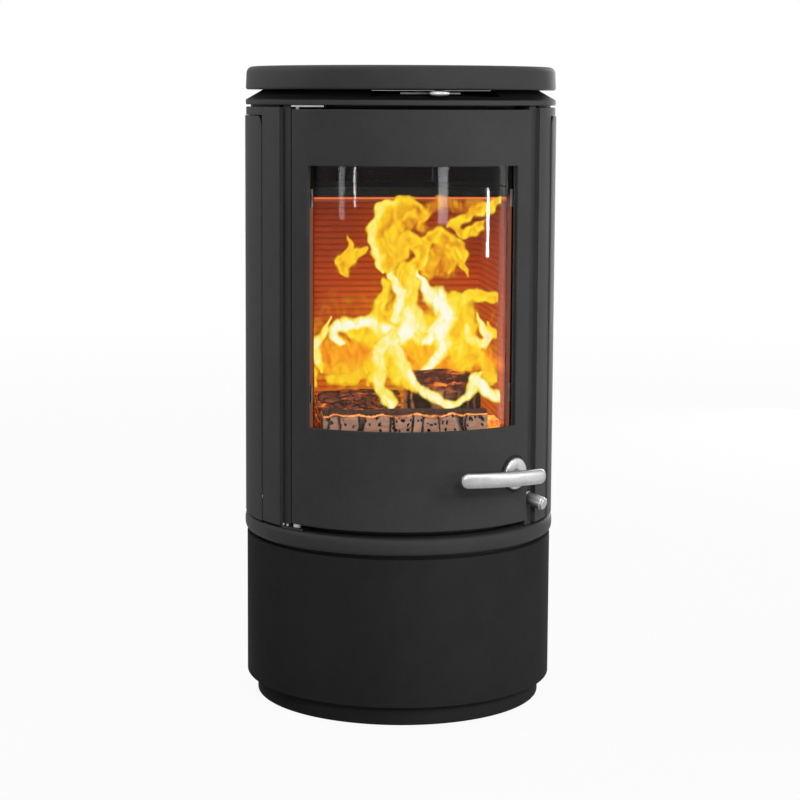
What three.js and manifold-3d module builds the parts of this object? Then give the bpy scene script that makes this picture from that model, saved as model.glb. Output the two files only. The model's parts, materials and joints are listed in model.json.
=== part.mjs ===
// Round wood stove on a closed pedestal, in millimetres.
// +Z is up and the door faces -Y. The origin is on the floor, under the middle of the body.
// Angles are degrees round the upright axis, from the front (-Y) towards +X.
// A radius is measured from that axis unless its name says whose radius it is.

import * as THREE from 'three';
import { mergeVertices } from 'three/addons/utils/BufferGeometryUtils.js';
import Module from 'manifold-3d';

const wasm = await Module();
wasm.setup();

// Clearances
const fit = 0.3;               // between flat faces that touch
const curveFit = 0.5;          // between curved faces that touch
const overlap = 0.5;           // how far joined solids reach into each other
const past = 20;               // how far a cutter reaches past what it cuts

// Round facets
const roundSteps = 48;         // facets in a full turn of a large ring
const sheetSteps = 60;         // facets in a full turn of a curved sheet or panel
const smallSteps = 20;         // facets in a full turn of a knob or pin
const pipeSteps = 30;          // facets in a full turn of a pipe, boss or grate

// Body and pedestal
const bodyRadius = 218;
const plinthHeight = 28;
const plinthSetback = 15.5;
const plinthWall = 4;
const casingHeight = 204.2;
const casingSetback = 0.5;
const casingSheet = 2;
const casingFlange = 27;
const casingFlangeThickness = 3;
const spacerHeight = 4.6;
const spacerSetback = 10.5;
const deckHeight = 23.3;
const deckProud = 2.3;
const deckEdge = 8;
const ductRadius = 43;
const ductWall = 2;
const ductClearance = 1.5;
const spigotRadius = 40;
const spigotWall = 2;
const spigotLevel = 90;
const spigotProud = 17;

// Door
const doorHeight = 564.3;
const doorHalfAngle = 48.25;
const doorBottomGap = 9.3;
const doorTopGap = 5.4;
const doorSkin = 6;
const doorRimDepth = 8.7;
const doorRimSetback = 0.65;   // degrees from the door's side edge to its rim
const doorRimWidth = 3.1;      // degrees
const doorRimInset = 4;
const doorRimBar = 10;
const windowHalfAngle = 40.7;
const windowAboveDoorBase = 135.9;
const windowBelowDoorTop = 74.9;
const glassThickness = 4;
const glassLapAngle = 2.5;
const glassLap = 10;
const glassSealThickness = 3.4;
const glassSealWidth = 6;
const doorSealThickness = 5.7;
const doorSealWidth = 6;
const clipHeight = 24;
const clipThickness = 3.2;
const clipLegAngle = 0.75;
const clipLapAngle = 1.6;
const clipFromWindowEnd = 44;

// Door hinges
const hingeAngle = -47.2;
const hingeSetback = 9;
const hingePinRadius = 3;
const hingePinLength = 14;
const hingeLugWall = 2.4;
const hingeLugHeight = 18;
const hingeRelief = 11.2;
const hingePlate = 3.7;
const hingeWasherRadius = 6.5;
const topHingePlate = 2.2;
const topHingeFrom = -48.8;
const topHingeTo = -34.2;
const hingePlateSetback = 1.8;
const hingePlateDepth = 16;
const hingeScrewRadius = 2.5;
const hingeScrewHeight = 2.8;
const hingeScrewAngles = [-51.1, -53.3];

// Handle and latch
const handleAngle = 40.5;
const handleAboveDoorBase = 69.7;
const spindleRadius = 6;
const spindleTipRadius = 4;
const bossRadius = 22;
const bossDepth = 7.6;
const bossEdge = 2;
const bossRecessDepth = 3.4;
const bossRecessGap = 2;
const barStandoff = 31.3;
const barThickness = 11;
const barHeight = 20.5;
const barLongReach = 123;
const barShortReach = 19.6;
const barTilt = 2.5;           // degrees the long end stands above the level
const barEdge = 3;
const collarRadius = 9;
const camThickness = 4;
const camWidth = 9;
const camReach = 14;
const camHubRadius = 7;
const strikerGap = 0.8;
const strikerHeight = 12;
const strikerWidth = 8;
const strikerLip = 3.5;
const strikerLipHeight = 5;

// Front frame, drum and what it holds
const frameThickness = 6.5;
const frameHalfAngle = 47.5;
const frameInset = 2;
const frameBar = 16;
const fireOpeningHalfAngle = 44;
const ashOpeningHalfAngle = 40;
const ashOpeningHeight = 57;
const crossBarHeight = 52;
const drumWall = 3;
const drumTopGap = 2;
const drumCutMargin = 0.5;     // degrees
const steelPlate = 4;
const floorAboveAshFloor = 67.7;
const hearthThickness = 20;
const boardGap = 1;
const chamberHalfWidth = 130;
const sideBoardThickness = 20;
const backBoardThickness = 25;
const boardLap = 4;
const smokeBoxHeight = 131.7;   // from the boards' top to the drum's top
const groovePitch = 8.8;
const grooveDepth = 1.6;
const grooveWidth = 3.4;
const airHoleRadius = 2.3;
const airHolePitch = 25;
const airHoleCount = 9;
const airHoleLevel = 122;      // above the foot of the back board
const baffleThickness = 20;
const baffleFrontGap = 122;
const upperBaffleRise = 44;
const upperBafflePlate = 3;
const upperBaffleBackGap = 120;
const grateRadius = 52;
const grateThickness = 9;
const grateFrameWall = 8;
const grateLedge = 8;
const grateCentre = -30;
const grateSlots = 5;
const grateSlotWidth = 5;
const grateSlotPitch = 14;
const panHalfWidth = 95;
const panLength = 225;
const panFront = 146;
const panHeight = 46;
const panSheet = 2;
const ashHoleRadius = 30;

// Outer sheets
const pillarFrom = 49.5;
const pillarTo = 54.5;
const pillarRecess = 6;
const panelFoot = 3;
const panelHeadGap = 3;
const panelSheet = 2;
const panelTo = 66.4;
const panelFold = 13;
const panelFoldAngle = 0.6;
const seamAngle = 0.1;
const jacketProud = 1.5;
const jacketSheet = 2;
const jacketFoot = 2;
const jacketHeadGap = 15;
const jacketCorner = 14;
const bracketHalfAngle = 6;
const bracketBelowFlue = 42;
const bracketFoot = 40;
const bracketSheet = 2.5;

// Flue
const flueRadius = 75;
const flueWall = 2.5;
const flueBelowRing = 102;
const flueProud = 32;
const flueInside = 12;
const flueBead = 2;
const flueBeadWidth = 6;
const jacketHoleGap = 7;
const blankLap = 10;
const blankThickness = 3;

// Upper ring, lid and air-wash lever
const rimProud = 0.5;
const rimHeight = 7;
const rimEdge = 1.5;
const coneHeight = 13.7;
const coneSlope = 30;
const ringLand = 1;
const lidHeight = 32;
const lidDraft = 1.5;
const lidEdge = 9;
const lidRim = 28;
const lidTopThickness = 12;
const lidLedge = 6;
const lidDiscRadius = 78;
const lidDiscThickness = 7.7;
const leverAngle = 7.7;
const leverSwing = 20;
const leverPlate = 2;
const leverArmWidth = 8;
const leverInset = 19;
const leverDepth = 22;
const leverHalfAngle = 14;
const leverAboveRing = 15;
const leverRoom = 3.3;
const housingMargin = 6;
const housingWindowAngle = 12;
const knobWidth = 30;
const knobDepth = 16;
const knobHeight = 7.6;
const knobOverhang = 3;

// Primary-air pull
const pullAngle = 51.7;
const pullLevel = 299;
const pullTilt = 13;
const pullKnobRadius = 9;
const pullKnobLength = 27;
const pullRodRadius = 4;
const pullDamperRadius = 15;
const pullDamperPlate = 3;
const pullRodInside = 64;
const bezelRadius = 10;
const bezelLength = 6;

// Logs
const frontLogLength = 226;
const frontLogDepth = 62;
const frontLogHeight = 46;
const frontLogGap = 2.8;        // from its corners to the front frame
const leftLogLength = 118;
const leftLogDepth = 58;
const leftLogHeight = 62;
const rightLogLength = 108;
const rightLogDepth = 66;
const rightLogHeight = 88;
const frontLogShift = -6;
const leftLogPlace = [-64, 40, 6];     // across, behind the front log, and degrees turned
const rightLogPlace = [58, 46, -8];

// Levels, from the floor up
const casingBase = plinthHeight + fit;
const spacerBase = casingBase + casingHeight + fit;
const deckBase = spacerBase + spacerHeight + fit;
const deckTop = deckBase + deckHeight;
const doorBase = deckTop + doorBottomGap;
const doorTop = doorBase + doorHeight;
const ringBase = doorTop + doorTopGap;
const ringHeight = rimHeight + coneHeight;
const lidBase = ringBase + ringHeight + fit;
const frameBase = doorBase + frameInset;
const frameTop = doorTop - frameInset;
const ashFloorTop = frameBase + frameBar;
const fireOpeningBase = ashFloorTop + ashOpeningHeight + crossBarHeight;
const fireOpeningTop = frameTop - frameBar;
const floorBase = ashFloorTop + floorAboveAshFloor;
const floorTop = floorBase + steelPlate;
const hearthBase = floorTop + fit;
const hearthTop = hearthBase + hearthThickness;
const boardBase = floorTop + fit;
const drumBase = deckTop + fit;
const drumTop = ringBase - drumTopGap;
const boardTop = drumTop - smokeBoxHeight;
const boardHeight = boardTop - boardBase;
const upperBaffleBase = boardTop + fit + baffleThickness + upperBaffleRise;
const drumLidBase = drumTop + fit;
const drumLidTop = drumLidBase + steelPlate;
const leverBase = ringBase + leverAboveRing;
const flueLevel = ringBase - flueBelowRing;
const bracketBase = deckTop + bracketFoot;
const bracketHeight = flueLevel - flueRadius - bracketBelowFlue - bracketBase;

// Radii, from the outside in
const doorInner = bodyRadius - doorSkin;
const glassOuter = doorInner - fit - glassSealThickness - fit;
const glassInner = glassOuter - glassThickness;
const rimInner = doorInner - doorRimDepth;
const sealOuter = rimInner - fit;
const sealInner = sealOuter - doorSealThickness;
const frameOuter = sealInner - fit;
const frameInner = frameOuter - frameThickness;
const drumOuter = frameInner - curveFit;
const drumInner = drumOuter - drumWall;
const drumPlateRadius = drumInner - curveFit;
const pillarInner = drumOuter + curveFit;
const pillarOuter = bodyRadius - pillarRecess;
const jacketOuter = bodyRadius + jacketProud;
const jacketInner = jacketOuter - jacketSheet;
const rimRadius = bodyRadius + rimProud;
const ringBore = drumOuter + ringLand;
const deckBore = ductRadius + ductClearance;
const leverOuter = ringBore - leverInset;
const leverInner = leverOuter - leverDepth;

// Finishes
function finish(color, roughness, metalness) {
  return new THREE.MeshStandardMaterial({ color, roughness, metalness });
}
const blackPaint = finish(0x3c3c3d, 0.55, 0.2);
const castBlack = finish(0x444445, 0.6, 0.2);
const deepBlack = finish(0x1c1c1d, 0.7, 0.1);
const rawSteel = finish(0x6f6f70, 0.5, 0.6);
const brushedSteel = finish(0xc8c7c6, 0.3, 0.9);
const firebrick = finish(0xb0743f, 0.9, 0.0);
const sootBoard = finish(0x2b2420, 0.95, 0.0);
const clearGlass = finish(0x9aa3a6, 0.05, 0.0);
const ropeSeal = finish(0x6a6864, 0.95, 0.0);
const bark = finish(0x6b4a33, 0.9, 0.0);
const char = finish(0x2a1d16, 0.95, 0.0);

// Shapes
const radians = THREE.MathUtils.degToRad;

function onCircle(radius, angle) {
  return new THREE.Vector2(radius * Math.sin(radians(angle)), -radius * Math.cos(radians(angle)));
}

// A closed solid of a geometry, with shared corners merged and collapsed facets left out.
function solid(geometry) {
  geometry.deleteAttribute('normal');
  geometry.deleteAttribute('uv');
  const merged = mergeVertices(geometry);
  const index = merged.index.array;
  const corners = [];
  for (let i = 0; i < index.length; i += 3) {
    const [a, b, c] = [index[i], index[i + 1], index[i + 2]];
    if (a !== b && b !== c && c !== a) corners.push(a, b, c);
  }
  return new wasm.Manifold(new wasm.Mesh({
    numProp: 3,
    vertProperties: new Float32Array(merged.attributes.position.array),
    triVerts: new Uint32Array(corners),
  }));
}

// An outline in plan, raised from one level to another.
function raise(outline, bottom, top) {
  const geometry = new THREE.ExtrudeGeometry(new THREE.Shape(outline), {
    depth: top - bottom,
    bevelEnabled: false,
  });
  geometry.translate(0, 0, bottom);
  return solid(geometry);
}

// Part of a ring between two radii, two angles and two levels.
function sector(inner, outer, from, to, bottom, top) {
  const steps = Math.max(1, Math.ceil((to - from) * sheetSteps / 360));
  const outline = [];
  for (let i = 0; i <= steps; i++) outline.push(onCircle(outer, from + (to - from) * i / steps));
  for (let i = steps; i >= 0; i--) outline.push(onCircle(inner, from + (to - from) * i / steps));
  return raise(outline, bottom, top);
}

// A profile of [radius, height] pairs, anticlockwise, turned about the upright axis.
// A profile that leaves the axis free closes on its first point.
function turn(profile, steps = roundSteps) {
  const points = profile.map(([radius, height]) => new THREE.Vector2(radius, height));
  const onAxis = profile[0][0] === 0;
  if (!onAxis) points.push(points[0].clone());
  const geometry = new THREE.LatheGeometry(points, steps);
  geometry.rotateX(Math.PI / 2);
  return solid(geometry);
}

function ring(inner, outer, bottom, top, steps = roundSteps) {
  return turn([[inner, bottom], [outer, bottom], [outer, top], [inner, top]], steps);
}

function disc(radius, bottom, top, steps = roundSteps) {
  return turn([[0, bottom], [radius, bottom], [radius, top], [0, top]], steps);
}

function block(left, right, front, back, bottom, top) {
  const geometry = new THREE.BoxGeometry(right - left, back - front, top - bottom);
  geometry.translate((left + right) / 2, (front + back) / 2, (bottom + top) / 2);
  return solid(geometry);
}

// An upright rod at a place in plan.
function post(radius, x, y, bottom, top, steps = smallSteps) {
  const geometry = new THREE.CylinderGeometry(radius, radius, top - bottom, steps);
  geometry.rotateX(Math.PI / 2);
  geometry.translate(x, y, (bottom + top) / 2);
  return solid(geometry);
}

// An upright outline of [x, z] pairs, carried from front to back, then swung round the body.
function across(outline, front, back, angle = 0) {
  const shape = new THREE.Shape(outline.map(([x, z]) => new THREE.Vector2(x, z)));
  const geometry = new THREE.ExtrudeGeometry(shape, { depth: back - front, bevelEnabled: false });
  geometry.rotateX(Math.PI / 2);
  geometry.translate(0, back, 0);
  geometry.rotateZ(radians(angle));
  return solid(geometry);
}

// An upright outline of [y, z] pairs, carried from left to right.
function along(outline, left, right, steps = 1) {
  const shape = new THREE.Shape(outline.map(([y, z]) => new THREE.Vector2(y, z)));
  const geometry = new THREE.ExtrudeGeometry(shape, { depth: right - left, steps, bevelEnabled: false });
  const turned = new THREE.Matrix4().makeBasis(
    new THREE.Vector3(0, 1, 0), new THREE.Vector3(0, 0, 1), new THREE.Vector3(1, 0, 0));
  geometry.applyMatrix4(turned);
  geometry.translate(left, 0, 0);
  return geometry;
}

// A rod between two points.
function rod(radius, start, end, steps = smallSteps) {
  const length = start.distanceTo(end);
  const geometry = new THREE.CylinderGeometry(radius, radius, length, steps);
  const way = end.clone().sub(start).normalize();
  geometry.applyQuaternion(new THREE.Quaternion().setFromUnitVectors(new THREE.Vector3(0, 1, 0), way));
  const middle = start.clone().add(end).multiplyScalar(0.5);
  geometry.translate(middle.x, middle.y, middle.z);
  return solid(geometry);
}

// A point at a radius, an angle and a level.
function place(radius, angle, level) {
  const flat = onCircle(radius, angle);
  return new THREE.Vector3(flat.x, flat.y, level);
}

// A rod along a spoke of the body.
function spoke(radius, angle, level, inner, outer, steps = smallSteps) {
  return rod(radius, place(inner, angle, level), place(outer, angle, level), steps);
}

// A profile of [radius, distance] pairs turned about the front-to-back axis. Distance runs back.
function spin(profile, steps = smallSteps) {
  const points = profile.map(([radius, distance]) => new THREE.Vector2(radius, distance));
  if (profile[0][0] !== 0) points.push(points[0].clone());
  return solid(new THREE.LatheGeometry(points, steps));
}

// Points on a round corner of a turned profile, from one direction to another.
function corner(middleRadius, middleHeight, radius, from, to, steps) {
  const points = [];
  for (let i = 0; i <= steps; i++) {
    const turn = radians(from + (to - from) * i / steps);
    points.push([middleRadius + radius * Math.cos(turn), middleHeight + radius * Math.sin(turn)]);
  }
  return points;
}

function degreesAt(radius, length) {
  return THREE.MathUtils.radToDeg(length / radius);
}

function chord(radius, offset) {
  return Math.sqrt(Math.max(radius * radius - offset * offset, 1));
}

function join(first, ...others) {
  return others.reduce((whole, next) => whole.add(next), first);
}

function cut(first, ...others) {
  return others.reduce((whole, next) => whole.subtract(next), first);
}

// A named mesh of a solid, added to a group at a level.
function piece(parent, name, shape, material, level = 0) {
  const { vertProperties, triVerts } = shape.getMesh();
  const merged = new THREE.BufferGeometry();
  merged.setAttribute('position', new THREE.BufferAttribute(new Float32Array(vertProperties), 3));
  merged.setIndex(new THREE.BufferAttribute(new Uint32Array(triVerts), 1));
  const geometry = merged.toNonIndexed();
  geometry.computeVertexNormals();
  const mesh = new THREE.Mesh(geometry, material);
  mesh.name = name;
  mesh.position.z = level;
  parent.add(mesh);
  return mesh;
}

function group(parent, level = 0, angle = 0) {
  const made = new THREE.Group();
  made.position.z = level;
  made.rotation.z = radians(angle);
  parent.add(made);
  return made;
}

const stove = new THREE.Group();
const hinge = onCircle(bodyRadius - hingeSetback, hingeAngle);

// Pedestal: a pan-shaped plinth, a sheet casing with folded-in ends, and the recessed spacer
function addPedestal() {
  const plinthRadius = bodyRadius - plinthSetback;
  const plinthInner = plinthRadius - plinthWall;
  piece(stove, 'plinth', turn([
    [0, 0], [plinthRadius, 0], [plinthRadius, plinthHeight],
    [plinthInner, plinthHeight], [plinthInner, plinthWall], [0, plinthWall],
  ]), blackPaint);

  const outer = bodyRadius - casingSetback;
  const inner = outer - casingSheet;
  const lip = outer - casingFlange;
  const upperFlange = casingHeight - casingFlangeThickness;
  const casing = turn([
    [lip, 0], [outer, 0], [outer, casingHeight], [lip, casingHeight],
    [lip, upperFlange], [inner, upperFlange], [inner, casingFlangeThickness], [lip, casingFlangeThickness],
  ]);
  const level = spigotLevel - casingBase;
  const airHole = rod(spigotRadius + curveFit,
    new THREE.Vector3(0, lip, level), new THREE.Vector3(0, outer + past, level));
  piece(stove, 'base_casing', cut(casing, airHole), blackPaint, casingBase);

  piece(stove, 'base_spacer',
    ring(deckBore, bodyRadius - spacerSetback, 0, spacerHeight), deepBlack, spacerBase);
}

// Deck: a cast plate whose rim swells outwards and rounds over at both edges
function addDeck() {
  const outer = bodyRadius + deckProud;
  const half = deckHeight / 2;
  const rim = [];
  const steps = 6;
  const fullness = 0.7;
  for (let i = 0; i <= steps; i++) {
    const lean = radians(-90 + 180 * i / steps);
    const rise = Math.sign(Math.sin(lean)) * Math.abs(Math.sin(lean)) ** fullness;
    const reach = Math.max(Math.cos(lean), 0) ** fullness;
    rim.push([outer - deckEdge + deckEdge * reach, half + half * rise]);
  }
  piece(stove, 'deck_plate', turn([[deckBore, 0], ...rim, [deckBore, deckHeight]]), castBlack, deckBase);
}

// Outside air: a spigot at the back and the duct that it feeds, up to the ash floor
function addAirDuct() {
  const hole = rod(spigotRadius + fit,
    new THREE.Vector3(0, 0, spigotLevel), new THREE.Vector3(0, ductRadius + past, spigotLevel));
  const top = ashFloorTop - steelPlate - fit;
  piece(stove, 'air_duct',
    cut(ring(ductRadius - ductWall, ductRadius, plinthWall + fit, top, smallSteps), hole), rawSteel);
  const back = bodyRadius - casingSetback + spigotProud;
  const front = ductRadius - spigotWall;
  const bore = spigotRadius - spigotWall;
  piece(stove, 'air_spigot', spin([
    [bore, front], [spigotRadius, front], [spigotRadius, back], [bore, back],
  ]), rawSteel, spigotLevel);
}

// The pull axis of the primary air leans down towards the front: a point at a distance from
// the body's surface, outwards along it.
function pullPoint(distance) {
  const out = bodyRadius + distance * Math.cos(radians(pullTilt));
  return place(out, pullAngle, pullLevel - distance * Math.sin(radians(pullTilt)));
}

// Drum: the steel firebox shell with its front cut-out, floors, boards and baffles
function addDrum() {
  const cutHalf = fireOpeningHalfAngle + drumCutMargin;
  const frontCut = sector(drumInner - past, drumOuter + past, -cutHalf, cutHalf, ashFloorTop, fireOpeningTop);
  const flueStart = new THREE.Vector3(0, drumInner / 2, flueLevel);
  const flueEnd = new THREE.Vector3(0, drumOuter + past, flueLevel);
  const flueHole = rod(flueRadius + fit, flueStart, flueEnd, pipeSteps);
  const pullHole = rod(pullRodRadius + curveFit, pullPoint(-pullRodInside), pullPoint(past));
  piece(stove, 'firebox_shell',
    cut(ring(drumInner, drumOuter, drumBase, drumTop), frontCut, flueHole, pullHole), deepBlack);

  const ashHole = post(ashHoleRadius, 0, 0, -past, steelPlate + past);
  piece(stove, 'ash_floor',
    cut(disc(drumPlateRadius, 0, steelPlate), ashHole), deepBlack, ashFloorTop - steelPlate);

  const chute = grateRadius - grateLedge;
  piece(stove, 'firebox_floor',
    cut(disc(drumPlateRadius, 0, steelPlate), post(chute, 0, grateCentre, -past, steelPlate + past)),
    deepBlack, floorBase);

  const lidHole = post(flueRadius, 0, 0, -past, steelPlate + past, roundSteps);
  piece(stove, 'firebox_top', cut(disc(drumOuter, 0, steelPlate), lidHole), deepBlack, drumLidBase);
  piece(stove, 'flue_blank', disc(flueRadius + blankLap, 0, blankThickness), deepBlack, drumLidTop + fit);
}

const boardReach = drumInner - boardGap;
const sideBoardOuter = chamberHalfWidth + sideBoardThickness;
const backBoardHalfWidth = chamberHalfWidth + boardLap;
const backBoardBack = chord(boardReach, backBoardHalfWidth);
const backBoardFront = backBoardBack - backBoardThickness;

// Boards that line the chamber. The back board has level grooves and a row of air holes.
function addLining() {
  const grateOuter = grateRadius + curveFit + grateFrameWall;
  const hearth = disc(boardReach, 0, hearthThickness)
    .intersect(block(-chamberHalfWidth + fit, chamberHalfWidth - fit,
      -bodyRadius, backBoardFront - fit, -past, hearthThickness + past));
  piece(stove, 'hearth_board',
    cut(hearth, post(grateOuter + curveFit, 0, grateCentre, -past, hearthThickness + past, pipeSteps)),
    firebrick, hearthBase);

  const outline = [[backBoardBack, 0], [backBoardBack, boardHeight], [backBoardFront, boardHeight]];
  const grooveCount = Math.floor((boardHeight - hearthThickness) / groovePitch) - 1;
  for (let i = 1; i <= grooveCount; i++) {
    const middle = boardHeight - i * groovePitch;
    outline.push([backBoardFront, middle + grooveWidth / 2]);
    outline.push([backBoardFront + grooveDepth, middle]);
    outline.push([backBoardFront, middle - grooveWidth / 2]);
  }
  outline.push([backBoardFront, 0]);
  let back = solid(along(outline, -backBoardHalfWidth, backBoardHalfWidth));
  for (let i = 0; i < airHoleCount; i++) {
    const x = (i - (airHoleCount - 1) / 2) * airHolePitch;
    const start = new THREE.Vector3(x, backBoardFront - past, airHoleLevel);
    const end = new THREE.Vector3(x, backBoardBack + past, airHoleLevel);
    back = cut(back, rod(airHoleRadius, start, end, 6));
  }
  piece(stove, 'back_board', back, firebrick, boardBase);

  const sideFront = -chord(boardReach, sideBoardOuter);
  const sideBack = backBoardFront - fit;
  for (const [name, side] of [['side_board_left', -1], ['side_board_right', 1]]) {
    const [left, right] = [side * chamberHalfWidth, side * sideBoardOuter].sort((a, b) => a - b);
    piece(stove, name, block(left, right, sideFront, sideBack, 0, boardHeight), firebrick, boardBase);
  }
}

// Baffles: a thick board on the lining, open at the front, and a steel plate, open at the back
function addBaffles() {
  const lower = disc(drumPlateRadius, 0, baffleThickness)
    .intersect(block(-sideBoardOuter, sideBoardOuter, baffleFrontGap - drumInner, backBoardBack,
      -past, baffleThickness + past));
  piece(stove, 'baffle_lower', lower, sootBoard, boardTop + fit);
  const upper = disc(drumPlateRadius, 0, upperBafflePlate)
    .intersect(block(-drumInner, drumInner, -drumInner, drumInner - upperBaffleBackGap,
      -past, upperBafflePlate + past));
  piece(stove, 'baffle_upper', upper, deepBlack, upperBaffleBase);
}

// Grate: a slotted disc on the ledge of a cast ring, over the ash pan
function addGrate() {
  const inner = grateRadius - grateLedge;
  const seat = grateRadius + curveFit;
  const outer = seat + grateFrameWall;
  const ledgeTop = hearthThickness - grateThickness - fit;
  const frame = piece(stove, 'grate_frame', turn([
    [inner, 0], [outer, 0], [outer, hearthThickness], [seat, hearthThickness], [seat, ledgeTop],
    [inner, ledgeTop],
  ], pipeSteps), castBlack, hearthBase);
  frame.position.y = grateCentre;

  let grate = disc(grateRadius, 0, grateThickness, pipeSteps);
  for (let i = 0; i < grateSlots; i++) {
    const x = (i - (grateSlots - 1) / 2) * grateSlotPitch;
    const reach = chord(inner, Math.abs(x) + grateSlotWidth / 2);
    const half = grateSlotWidth / 2;
    grate = cut(grate, block(x - half, x + half, -reach, reach, -past, grateThickness + past));
  }
  const mesh = piece(stove, 'grate', grate, castBlack, hearthBase + ledgeTop + fit);
  mesh.position.y = grateCentre;

  const back = panLength - panFront;
  const inside = block(-panHalfWidth + panSheet, panHalfWidth - panSheet,
    -panFront + panSheet, back - panSheet, panSheet, panHeight + past);
  piece(stove, 'ash_pan',
    cut(block(-panHalfWidth, panHalfWidth, -panFront, back, 0, panHeight), inside),
    rawSteel, ashFloorTop + fit);
}

// Front frame: the curved face that the door shuts on, with the ash and fire openings
function addFrontFrame() {
  const height = frameTop - frameBase;
  const opening = (half, bottom, top) => sector(frameInner - past, frameOuter + past, -half, half,
    bottom - frameBase, top - frameBase);
  piece(stove, 'front_frame', cut(
    sector(frameInner, frameOuter, -frameHalfAngle, frameHalfAngle, 0, height),
    opening(fireOpeningHalfAngle, fireOpeningBase, fireOpeningTop),
    opening(ashOpeningHalfAngle, ashFloorTop, ashFloorTop + ashOpeningHeight),
  ), deepBlack, frameBase);

  // Striker: a foot on the frame, with a lip that stands clear above the released tongue
  const foot = frameOuter + curveFit;
  const lipOuter = sealOuter + curveFit + strikerLip + fit;
  const lipInner = lipOuter - strikerLip;
  const from = handleAngle - degreesAt(foot, strikerWidth * 2 / 3);
  const to = from + degreesAt(foot, strikerWidth);
  piece(stove, 'latch_striker', join(
    sector(foot, lipOuter, from, to, strikerLipHeight, strikerHeight),
    sector(lipInner, lipOuter, from, to, 0, strikerLipHeight + overlap),
  ), rawSteel, doorBase + handleAboveDoorBase + collarRadius + strikerGap);
}

// Outer sheets: recessed pillars beside the door, side panels, and the prouder jacket behind
function addOuterSheets() {
  const pillarBase = deckTop + fit;
  const pillarHeight = ringBase - fit - pillarBase;
  const panelFrom = pillarTo + seamAngle;
  const panelBase = deckTop + panelFoot;
  const panelHeight = ringBase - panelHeadGap - panelBase;
  for (const [word, side] of [['left', -1], ['right', 1]]) {
    const turned = (from, to) => (side < 0 ? [-to, -from] : [from, to]);
    let pillar = sector(pillarInner, pillarOuter, ...turned(pillarFrom, pillarTo), 0, pillarHeight);
    if (side < 0) pillar = cut(pillar, post(hingeRelief, hinge.x, hinge.y, -past, pillarHeight + past));
    if (side > 0) {
      const axis = (distance) => pullPoint(distance).sub(new THREE.Vector3(0, 0, pillarBase));
      pillar = cut(pillar, rod(pullRodRadius + curveFit, axis(-pullRodInside), axis(past)));
    }
    piece(stove, `pillar_${word}`, pillar, deepBlack, pillarBase);

    piece(stove, `side_panel_${word}`, join(
      sector(bodyRadius - panelSheet, bodyRadius, ...turned(panelFrom, panelTo), 0, panelHeight),
      sector(bodyRadius - panelFold, bodyRadius - overlap, ...turned(panelFrom, panelFrom + panelFoldAngle),
        0, panelHeight),
    ), blackPaint, panelBase);
  }

  const jacketFrom = panelTo + seamAngle;
  const jacketBase = deckTop + jacketFoot;
  const jacketHeight = ringBase - jacketHeadGap - jacketBase;
  const hole = spoke(flueRadius + jacketHoleGap, 180, flueLevel - jacketBase,
    jacketInner - past, jacketOuter + past, pipeSteps);
  let jacket = sector(jacketInner, jacketOuter, jacketFrom, 360 - jacketFrom, 0, jacketHeight);
  for (const side of [-1, 1]) {
    jacket = cut(jacket, cornerCutter(side * jacketFrom, side, jacketHeight));
  }
  piece(stove, 'rear_jacket', cut(jacket, hole), blackPaint, jacketBase);

  // A U-shaped bracket on the drum, with the jacket on its two legs
  const inner = pillarInner;
  const outer = jacketInner - curveFit;
  const leg = degreesAt(outer, bracketSheet);
  piece(stove, 'rear_bracket', cut(
    sector(inner, outer, 180 - bracketHalfAngle, 180 + bracketHalfAngle, 0, bracketHeight),
    sector(inner + bracketSheet, outer + past, 180 - bracketHalfAngle + leg, 180 + bracketHalfAngle - leg,
      -past, bracketHeight + past),
  ), rawSteel, bracketBase);
}

// What is left over outside a quarter round at the top front corner of the jacket
function cornerCutter(angle, side, top) {
  const outline = [
    [-past, top - jacketCorner],
    ...corner(jacketCorner, top - jacketCorner, jacketCorner, 180, 90, 4),
    [jacketCorner, top + past],
    [-past, top + past],
  ].map(([x, z]) => [side * x, z]);
  return across(outline, -(jacketOuter + past), -(jacketInner - past), angle);
}

// Flue collar: a spigot with a bead near its end, through the drum at the back
function addFlue() {
  const front = chord(drumInner, flueRadius) - flueInside;
  const back = jacketOuter + flueProud;
  const bore = flueRadius - flueWall;
  const beadBack = back - flueBeadWidth;
  piece(stove, 'flue_collar', spin([
    [bore, front], [flueRadius, front], [flueRadius, beadBack - flueBeadWidth],
    [flueRadius + flueBead, beadBack - flueBeadWidth], [flueRadius + flueBead, beadBack],
    [flueRadius, beadBack], [flueRadius, back], [bore, back],
  ], pipeSteps), deepBlack, flueLevel);
}

// Upper ring: a rounded rim with a black cone rising to the lid, slotted for the lever
function addUpperRing() {
  const coneTop = rimRadius - coneHeight / Math.tan(radians(coneSlope));
  const swing = leverSwing + degreesAt(rimRadius, knobWidth / 2) + 1.5;
  const slot = sector(ringBore - past, rimRadius + past, leverAngle - swing, leverAngle + swing,
    leverAboveRing - leverRoom, ringHeight + past);
  piece(stove, 'upper_ring', cut(turn([
    [ringBore, 0], [rimRadius - rimEdge, 0], [rimRadius, rimEdge], [rimRadius, rimHeight - rimEdge],
    [rimRadius - rimEdge, rimHeight], [coneTop, ringHeight], [ringBore, ringHeight],
  ]), slot), deepBlack, ringBase);
}

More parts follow.
